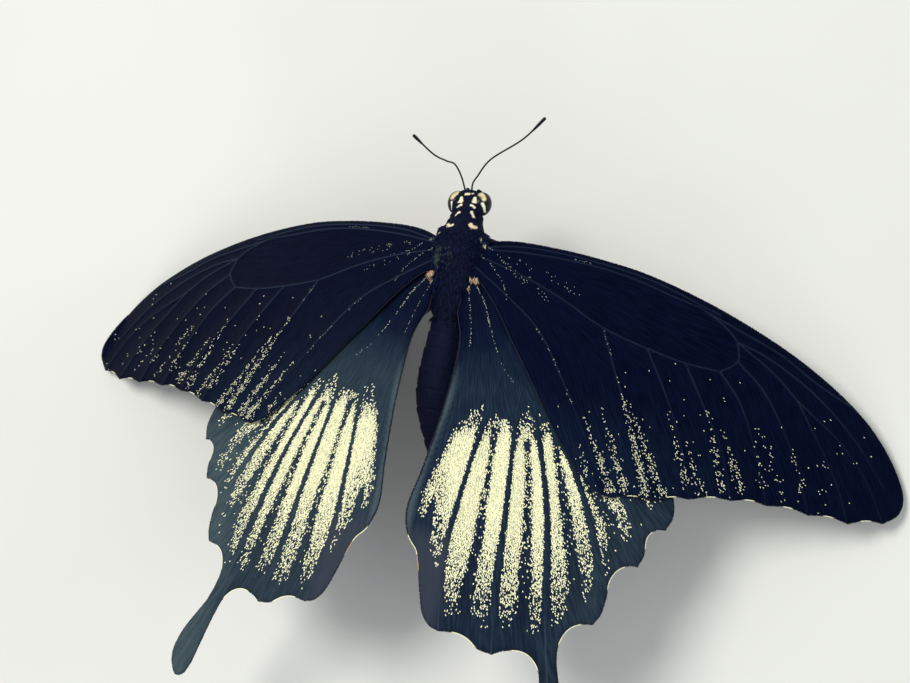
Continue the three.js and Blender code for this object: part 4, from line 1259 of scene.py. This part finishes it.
def round_form(profile, coat, **form):
    """A closed form that is round about the Y axis, inside its profile by the coat's depth."""
    rings = spindle([(y, max(LEAST_RADIUS, r - coat)) for y, r in profile], BODY_SIDES, **form)
    return rings.reshape(-1, 3), grid_faces(len(rings), BODY_SIDES)


def body_forms():
    """Closed forms that the skin is drawn over, in mm."""
    forms = [
        round_form(eased_profile(THORAX_PROFILE[1:-1], 0.15), COAT_DEPTH["thorax"], **THORAX),
        round_form(abdomen_profile(), COAT_DEPTH["abdomen"], **ABDOMEN),
        ball(HEAD["centre"], np.array(HEAD["half"]) - COAT_DEPTH["head"]),
        ball(CROWN["centre"], np.array(CROWN["half"]) - COAT_DEPTH["crown"]),
    ]
    forms.extend(ball(place, TEGULA_HALF) for place in TEGULA_CENTRES)
    for side in SIDES:
        forms.extend(ball(form["centre"] * MIRROR[side], form["half"]) for form in (COLLAR_LOBE, FORE_COXA))
        path = smooth(np.array(PALP_PATH) * MIRROR[side], 0.12)
        forms.append(tube(path, PALP_RADIUS * (1 - 0.35 * np.linspace(0, 1, len(path)) ** 2), 12))
    return forms


def skin_mesh():
    """The body forms melted into one skin, as vertices and triangles."""
    vertices, faces = join(body_forms())
    mesh = bpy.data.meshes.new("forms")
    mesh.from_pydata(vertices.tolist(), [], faces.tolist())
    forms = put("forms", mesh)
    remesh = forms.modifiers.new("melt", "REMESH")
    remesh.mode = "VOXEL"
    remesh.voxel_size = SKIN_VOXEL
    relax = forms.modifiers.new("relax", "SMOOTH")
    relax.iterations = 4
    relax.factor = 0.5
    graph = bpy.context.evaluated_depsgraph_get()
    melted = bpy.data.meshes.new_from_object(forms.evaluated_get(graph))
    melted.calc_loop_triangles()
    points = np.empty(len(melted.vertices) * 3, np.float32)
    melted.vertices.foreach_get("co", points)
    triangles = np.empty(len(melted.loop_triangles) * 3, np.int32)
    melted.loop_triangles.foreach_get("vertices", triangles)
    bpy.data.objects.remove(forms)
    bpy.data.meshes.remove(mesh)
    bpy.data.meshes.remove(melted)
    return points.reshape(-1, 3).astype(float), triangles.reshape(-1, 3)


def mark_share(points):
    """How pale and how warm each point of the body is, from the marks of the head and collar."""
    pale = np.zeros(len(points))
    warm = np.zeros(len(points))
    for places, half, narrowing, warmth in HEAD_MARKS:
        t, away = along_line(points[:, :2], places)
        width = half * (1 - narrowing * t)
        share = (1 - smoothstep(away, width - 0.03, width + 0.03)) * (points[:, 2] > MARKS_OVER)
        warm = np.where(share > pale, warmth, warm)
        pale = np.maximum(pale, share)
    return pale, warm


def body_uv(roots):
    """Patches of the bake map for hairs on the body, unrolled round its axis."""
    turn = 0.5 + np.arctan2(roots[:, 0], roots[:, 2] - BODY_AXIS_HEIGHT) / (2 * math.pi)
    along = (roots[:, 1] - BODY_BACK) / BODY_LENGTH
    centre = np.column_stack([turn, along]) * (1 - 2 * MAP_BORDER) + MAP_BORDER
    return (centre[:, None] + PATCH * HAIR_SPREAD[None]).reshape(-1, 2)


def scattered_roots(vertices, faces, count, rng, weight):
    """Random points on the skin with their normals, more of them where weight is higher."""
    a, b, c = vertices[faces[:, 0]], vertices[faces[:, 1]], vertices[faces[:, 2]]
    cross = np.cross(b - a, c - a)
    area = np.linalg.norm(cross, axis=1)
    middle = (a + b + c) / 3
    share = area * weight(middle)
    chosen = rng.choice(len(faces), count, p=share / share.sum())
    s = np.sqrt(rng.uniform(0, 1, count))[:, None]
    t = rng.uniform(0, 1, count)[:, None]
    roots = a[chosen] * (1 - s) + b[chosen] * s * (1 - t) + c[chosen] * s * t
    return roots, unit(cross[chosen])


def add_hairs(name, shapes, roots, material, *looks):
    """A piece of hairs, each with its looks: whether it is pale, and how grey, warm and light it is."""
    names = ("pale", "grey", "warm", "tone")
    values = {key: np.repeat(look, HAIR_POINTS).astype(float) for key, look in zip(names, looks)}
    make_piece(name, *shapes, material, "fur", 0, values, body_uv(roots))


def body_tufts(skin, name, count, seed, weight, length_of, width, lift, material):
    """A coat of hairs over the part of the skin that has a weight."""
    rng = np.random.default_rng(seed)
    roots, normal = scattered_roots(*skin, count, rng, weight)
    lie = np.array(BODY_LIE) + rng.normal(0, 0.22, roots.shape)
    lie = unit(lie - normal * (lie * normal).sum(1, keepdims=True))
    length = length_of(roots) * rng.uniform(0.7, 1.15, count)
    width = width * rng.uniform(0.7, 1.3, count)
    lift = lift * rng.uniform(0.6, 1.4, count)
    tufts, tuft_faces = hairs(roots, lie, normal, length, width, lift, lift * 0.9)
    pale, warm = mark_share(roots)
    off_centre = within_oval(roots[:, :2], THORAX_FLECKS)
    fleck = rng.uniform(0, 1, count) < THORAX_FLECKS["share"] * (1 - smoothstep(off_centre, 0.6, 1.3))
    away = within_oval(roots[:, :2], GREY_PATCH)
    is_pale = pale > rng.uniform(0.25, 0.75, count)
    grey = np.maximum(0.7 * (away < rng.uniform(0.4, 1.3, count)), 0.8 * fleck)
    warm = warm * rng.uniform(0.3, 1.3, count)
    tone = rng.uniform(0, 1, count) ** 2.2
    add_hairs(name, (tufts, tuft_faces), roots, material, is_pale, grey, warm, tone)


def is_thorax(points):
    return (points[:, 1] > -5.2) & (points[:, 1] < 7.9)


def is_abdomen(points):
    return points[:, 1] < -3.6


def is_head(points):
    """Whether each point is on the head and clear of the eyes."""
    clear = points[:, 1] > 7.7
    for side in SIDES:
        clear &= np.linalg.norm((points - EYE_CENTRE[side]) / (np.array(EYE_HALF) + 0.02), axis=1) > 1
    return clear


def thorax_hair(points):
    """Length of the hairs of the thorax: longest behind, shortest at the collar."""
    y = points[:, 1]
    return 0.55 + 0.5 * smoothstep(y, 4, -3) - 0.25 * smoothstep(y, 5.5, 6.5)


def abdomen_hair(points):
    return np.full(len(points), 0.36)


def head_hair(points):
    """Length of the hairs of the head: longer on the brow."""
    return 0.17 + 0.12 * smoothstep(points[:, 1], 10.1, 10.6) * (points[:, 2] > -2)


def add_body(skin_material, fur):
    """The skin of the body and, over it, the coats of thorax, abdomen and head."""
    skin = skin_mesh()
    pale, warm = mark_share(skin[0])
    piece = make_piece("body_skin", *skin, skin_material, "fur", 0, {"pale": pale, "warm": 0.5 * warm})
    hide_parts("thorax", "abdomen", "head", "palp_right", "palp_left")
    body_tufts(skin, "fur_thorax", 12000, 11, is_thorax, thorax_hair, 0.085, 0.36, fur)
    body_tufts(skin, "fur_abdomen", 9000, 12, is_abdomen, abdomen_hair, 0.075, 0.2, fur)
    body_tufts(skin, "fur_head", 9000, 13, is_head, head_hair, 0.045, 0.3, fur)


def add_root_tufts(side, fur):
    """Tufts of long pale hair where the hindwing joins the body."""
    rng = np.random.default_rng(60 + len(side))
    roots = np.vstack([place + rng.normal(0, 0.13, (TUFT_HAIRS, 3)) for place, _ in ROOT_TUFTS[side]])
    reach = np.repeat([length for _, length in ROOT_TUFTS[side]], TUFT_HAIRS)
    count = len(roots)
    lie = unit(np.array([0.35, -1.0, 0.35]) + rng.normal(0, 0.25, (count, 3)))
    normal = unit(np.array([0, 0.3, 1.0]) + 0 * lie)
    normal = unit(normal - lie * (normal * lie).sum(1, keepdims=True))
    vertices, faces = hairs(roots, lie, normal, reach * rng.uniform(0.6, 1.1, count),
                            rng.uniform(0.05, 0.09, count), np.full(count, 0.15), np.full(count, 0.3))
    is_pale = rng.uniform(0, 1, count) < 0.75
    warm = rng.uniform(0, 1, count) ** 1.5
    faces = faces if side == "right" else faces[:, ::-1]
    add_hairs("tufts_" + side, (vertices * MIRROR[side], faces), roots, fur, is_pale, np.zeros(count), warm,
              rng.uniform(0, 1, count))


# ---- Eyes, feelers, tongue and legs ----

def add_eye(side, material):
    """One compound eye, with how far each point is in its painted reflection, a tan patch, or in a pale mark
    of the head.
    """
    vertices, faces = ball(EYE_CENTRE[side], EYE_HALF, 72, 48)
    facing = unit((vertices - EYE_CENTRE[side]) / EYE_HALF)
    # where the painted reflection, the tan patch, lies on the eye
    away = distance_to(facing, [unit(smooth(EYE_REFLECTION[side], 0.05))])
    patch = 1 - smoothstep(away, EYE_REFLECTION_HALF - 0.14, EYE_REFLECTION_HALF + 0.04)
    pale, _ = mark_share(vertices)
    values = {"patch": patch, "pale": pale}
    piece = make_piece("eye_ball_" + side, vertices, faces, material, "lens", 0, values)
    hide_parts("eye_" + side)


def add_antenna(side, material):
    """One feeler: a ringed shaft that is thicker at its root, with a bead below it and a club at its tip."""
    path = smooth(ANTENNA_PATHS[side], ANTENNA["step"])
    along = np.arange(len(path)) * ANTENNA["step"]
    start = ANTENNA["club_start"]
    club = np.clip((along / along[-1] - start) / (1 - start), 0, 1)
    swell = np.sin(ANTENNA["club_turn"] * club) ** 1.2
    radius = ANTENNA["shaft"] + (ANTENNA["club"] - ANTENNA["shaft"]) * swell
    radius = radius * (1 + 0.35 * (1 - smoothstep(along, 0.3, 0.9)))
    joint = np.abs(np.sin(math.pi * along / ANTENNA_JOINT))
    radius = radius * (0.9 + 0.1 * joint ** 0.5)
    radius[-len(ANTENNA_TIP):] *= ANTENNA_TIP
    scape = ball(path[SCAPE["step"]], SCAPE["half"], 20, 14)
    piece = make_piece("feeler_" + side, *join([tube(path, radius, 14), scape]), material, "shell")
    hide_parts("antenna_" + side)


def add_proboscis(material):
    """The tongue: one ringed tube, wound in a flat coil that tightens inwards."""
    centre, turns = PROBOSCIS["centre"], PROBOSCIS["turns"]
    path = [PROBOSCIS["root"]]
    steps = round(turns * PROBOSCIS["steps_per_turn"])
    for i in range(steps + 1):
        angle = PROBOSCIS["start"] + i / steps * turns * 2 * math.pi
        reach = PROBOSCIS["outer_radius"] - PROBOSCIS["pitch"] * turns * i / steps
        path.append((0, centre[1] + reach * math.cos(angle), centre[2] + reach * math.sin(angle)))
    path = smooth(path, 0.06)
    radius = PROBOSCIS["radius"] * (1 - 0.25 * np.linspace(0, 1, len(path)))
    radius = radius * (0.94 + 0.06 * np.abs(np.sin(np.arange(len(path)) * 0.9)))
    piece = make_piece("tongue", *tube(path, radius, 16, up=(1, 0, 0)), material, "shell")
    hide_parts("proboscis")


def segment(start, end, start_radius, end_radius, swell=0.0):
    """One limb segment: a tube with rounded ends that may swell in the middle."""
    t = np.concatenate([[0, 0.01, 0.03], np.linspace(0.07, 0.93, 14), [0.97, 0.99, 1]])
    ends = np.sqrt(np.clip(1 - (2 * t - 1) ** 10, 0.02, 1))
    radius = (start_radius + (end_radius - start_radius) * t + swell * np.sin(math.pi * t)) * ends
    return tube(start + (end - start) * t[:, None], radius, 12)


def spike(root, tip, radius):
    """A claw or spur, curved a little and tapered to a point."""
    t = np.linspace(0, 1, 7)
    path = root + (tip - root) * t[:, None]
    path[:, 2] += 0.12 * np.linalg.norm(tip - root) * np.sin(math.pi * t)
    return tube(path, radius * (1 - 0.93 * t), 6)


def limb_parts(name, hip, knee, ankle):
    """The segments of a leg down to its ankle, with a pair of spurs there."""
    down = unit(ankle - knee)
    thigh = knee - hip
    parts = [
        segment(hip - 0.12 * thigh, hip + 0.16 * thigh, 0.5, 0.42),
        segment(hip + 0.1 * thigh, knee, 0.36, 0.25, 0.08),
        segment(knee, ankle, 0.2, 0.19, 0.03),
    ]
    for turn in (-1, 1):
        aside = SPUR_ASIDE[name] * np.array([turn, 1, 1])
        parts.append(spike(ankle - 0.15 * down, ankle + 0.75 * down + aside, 0.07))
    return parts


def foot_parts(ankle, land, toe):
    """The five joints of a foot, each swollen towards its end, and a pair of claws."""
    foot = smooth([ankle, ankle + 0.6 * (land - ankle) + (0, 0, 0.05), land + 0.06 * (toe - land), toe], 0.1)
    reach = np.linspace(0, 1, len(foot))
    t = np.linspace(0, 1, 12)
    radius = (0.115 + 0.045 * t) * np.sqrt(np.clip(1 - (2 * t - 1) ** 8, 0.03, 1))
    parts = []
    start = 0.0
    for share in TARSOMERES:
        wanted = np.linspace(start, min(1.0, start + share), 12)
        parts.append(tube(np.column_stack([np.interp(wanted, reach, axis) for axis in foot.T]), radius, 10))
        start += share
    ahead = unit(toe - foot[-6])
    beside = unit(np.cross(ahead, (0, 0, 1)))
    for turn in (-1, 1):
        tip = toe + 0.3 * ahead + 0.16 * turn * beside
        tip[2] = toe[2] - 0.1
        parts.append(spike(toe, tip, 0.045))
    return parts


def bristles(runs, seed):
    """Short bristles round each of the (start, end, radius) runs of a leg."""
    rng = np.random.default_rng(seed)
    roots = []
    heading = []
    for start, end, radius in runs:
        t = rng.uniform(0.05, 0.97, BRISTLES_EACH)[:, None]
        along = unit(end - start)
        spin = rng.normal(0, 1, (BRISTLES_EACH, 3))
        spin = unit(spin - along * (spin @ along)[:, None])
        roots.append(start + (end - start) * t + spin * radius * 0.95)
        heading.append(np.hstack([np.broadcast_to(along, spin.shape), spin]))
    heading = np.vstack(heading)
    count = len(heading)
    return hairs(np.vstack(roots), heading[:, :3], heading[:, 3:], rng.uniform(0.25, 0.5, count),
                 rng.uniform(0.03, 0.05, count), rng.uniform(0.3, 0.8, count), np.full(count, 0.1))


def add_leg(name, side, material):
    """One leg, from its hip to the claws, which rest just over the floor."""
    leg = LEGS[name]
    hip, knee, ankle = (np.array(leg[key], float) for key in ("hip", "knee", "ankle"))
    land, toe = (np.array([*leg[key], floor_under(leg[key][1]) + FOOT_HEIGHT]) for key in ("land", "toe"))
    runs = ((hip + 0.15 * (knee - hip), knee, 0.3), (knee, ankle, 0.2), (ankle, land, 0.12))
    parts = limb_parts(name, hip, knee, ankle) + foot_parts(ankle, land, toe)
    vertices, faces = join(parts + [bristles(runs, 40 + len(name))])
    vertices = vertices * MIRROR[side]
    if side == "left":
        faces = faces[:, ::-1]
    vertices[:, 2] = np.maximum(vertices[:, 2], floor_under(vertices[:, 1]) + CLAW_CLEARANCE)
    piece = make_piece(f"leg_{name}_{side}", vertices, faces, material, "shell")
    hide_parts(f"{name}leg_{side}")


# ---- Floor, lights and camera ----

def add_floor(material):
    """The ground under the model: stage only, not a part of it."""
    half = 3.0
    mesh = bpy.data.meshes.new("floor")
    corners = [(-half, -half, 0), (half, -half, 0), (half, half, 0), (-half, half, 0)]
    mesh.from_pydata(corners, [], [(0, 1, 2, 3)])
    mesh.materials.append(material)
    put("floor", mesh)


def aimed(place, target):
    """A transform at place that looks at target, in metres."""
    turn = (Vector(target) - Vector(place)).to_track_quat("-Z", "Y")
    return Matrix.Translation(place) @ turn.to_matrix().to_4x4()


LIT_POINT = (0, 0, 0.015)


def add_light(name, place, size, power, colour):
    """A round lamp that faces the model: its place and size in metres, its power in watts."""
    data = bpy.data.lights.new(name, "AREA")
    data.shape = "DISK"
    data.size = size
    data.energy = power
    data.color = colour
    put(name, data).matrix_world = aimed(place, LIT_POINT)


def add_lights():
    """Three soft lamps and an even, faint light from all round."""
    add_light("key", (-0.24, 0.18, 0.68), 0.35, 4.1, (1.0, 0.98, 0.94))
    add_light("fill", (0.55, -0.1, 0.45), 0.5, 1.3, (0.93, 0.97, 1.0))
    add_light("back", (0.0, -0.6, 0.35), 0.4, 0.5, (1.0, 1.0, 1.0))
    world = bpy.data.worlds.new("studio")
    world.use_nodes = True
    background = world.node_tree.nodes["Background"]
    background.inputs["Color"].default_value = (0.9, 0.95, 1.0, 1.0)
    background.inputs["Strength"].default_value = 0.45
    bpy.context.scene.world = world


def add_camera():
    """The camera, on the photo's view of the insect."""
    place = np.array(CAMERA["place"])
    back = unit(place - CAMERA["target"])
    right = unit(np.cross(CAMERA["up"], back))
    up = np.cross(back, right)
    axes = pitched(np.array([right, up, back]))
    data = bpy.data.cameras.new("camera")
    data.sensor_fit = "HORIZONTAL"
    data.sensor_width = SENSOR_WIDTH
    data.lens = FOCAL_PER_WIDTH * SENSOR_WIDTH
    data.clip_start = 0.005
    data.clip_end = 20
    camera = put("camera", data)
    camera.matrix_world = Matrix.Translation(in_frame(place[None])[0]) @ Matrix(axes.T.tolist()).to_4x4()
    bpy.context.scene.camera = camera


# ---- The butterfly ----

bpy.context.scene.view_settings.view_transform = "Standard"
add_camera()
add_lights()
add_floor(floor_finish())

wing_material = wing_finish()
flake_material = flake_finish()
for seed, kind in enumerate(("forewing", "hindwing")):
    wing = make_wing(kind)
    sheet = wing_sheet(wing)
    for side in SIDES:
        add_wing(wing, side, sheet, wing_material)
        add_dust(wing, side, flake_material, 100 * seed + len(side))

fur_material = fur_finish()
add_body(skin_finish(), fur_material)
eye_material = eye_finish()
shell_material = shell_finish()
add_proboscis(shell_material)
for side in SIDES:
    add_root_tufts(side, fur_material)
    add_eye(side, eye_material)
    add_antenna(side, shell_material)
    for name in LEGS:
        add_leg(name, side, shell_material)
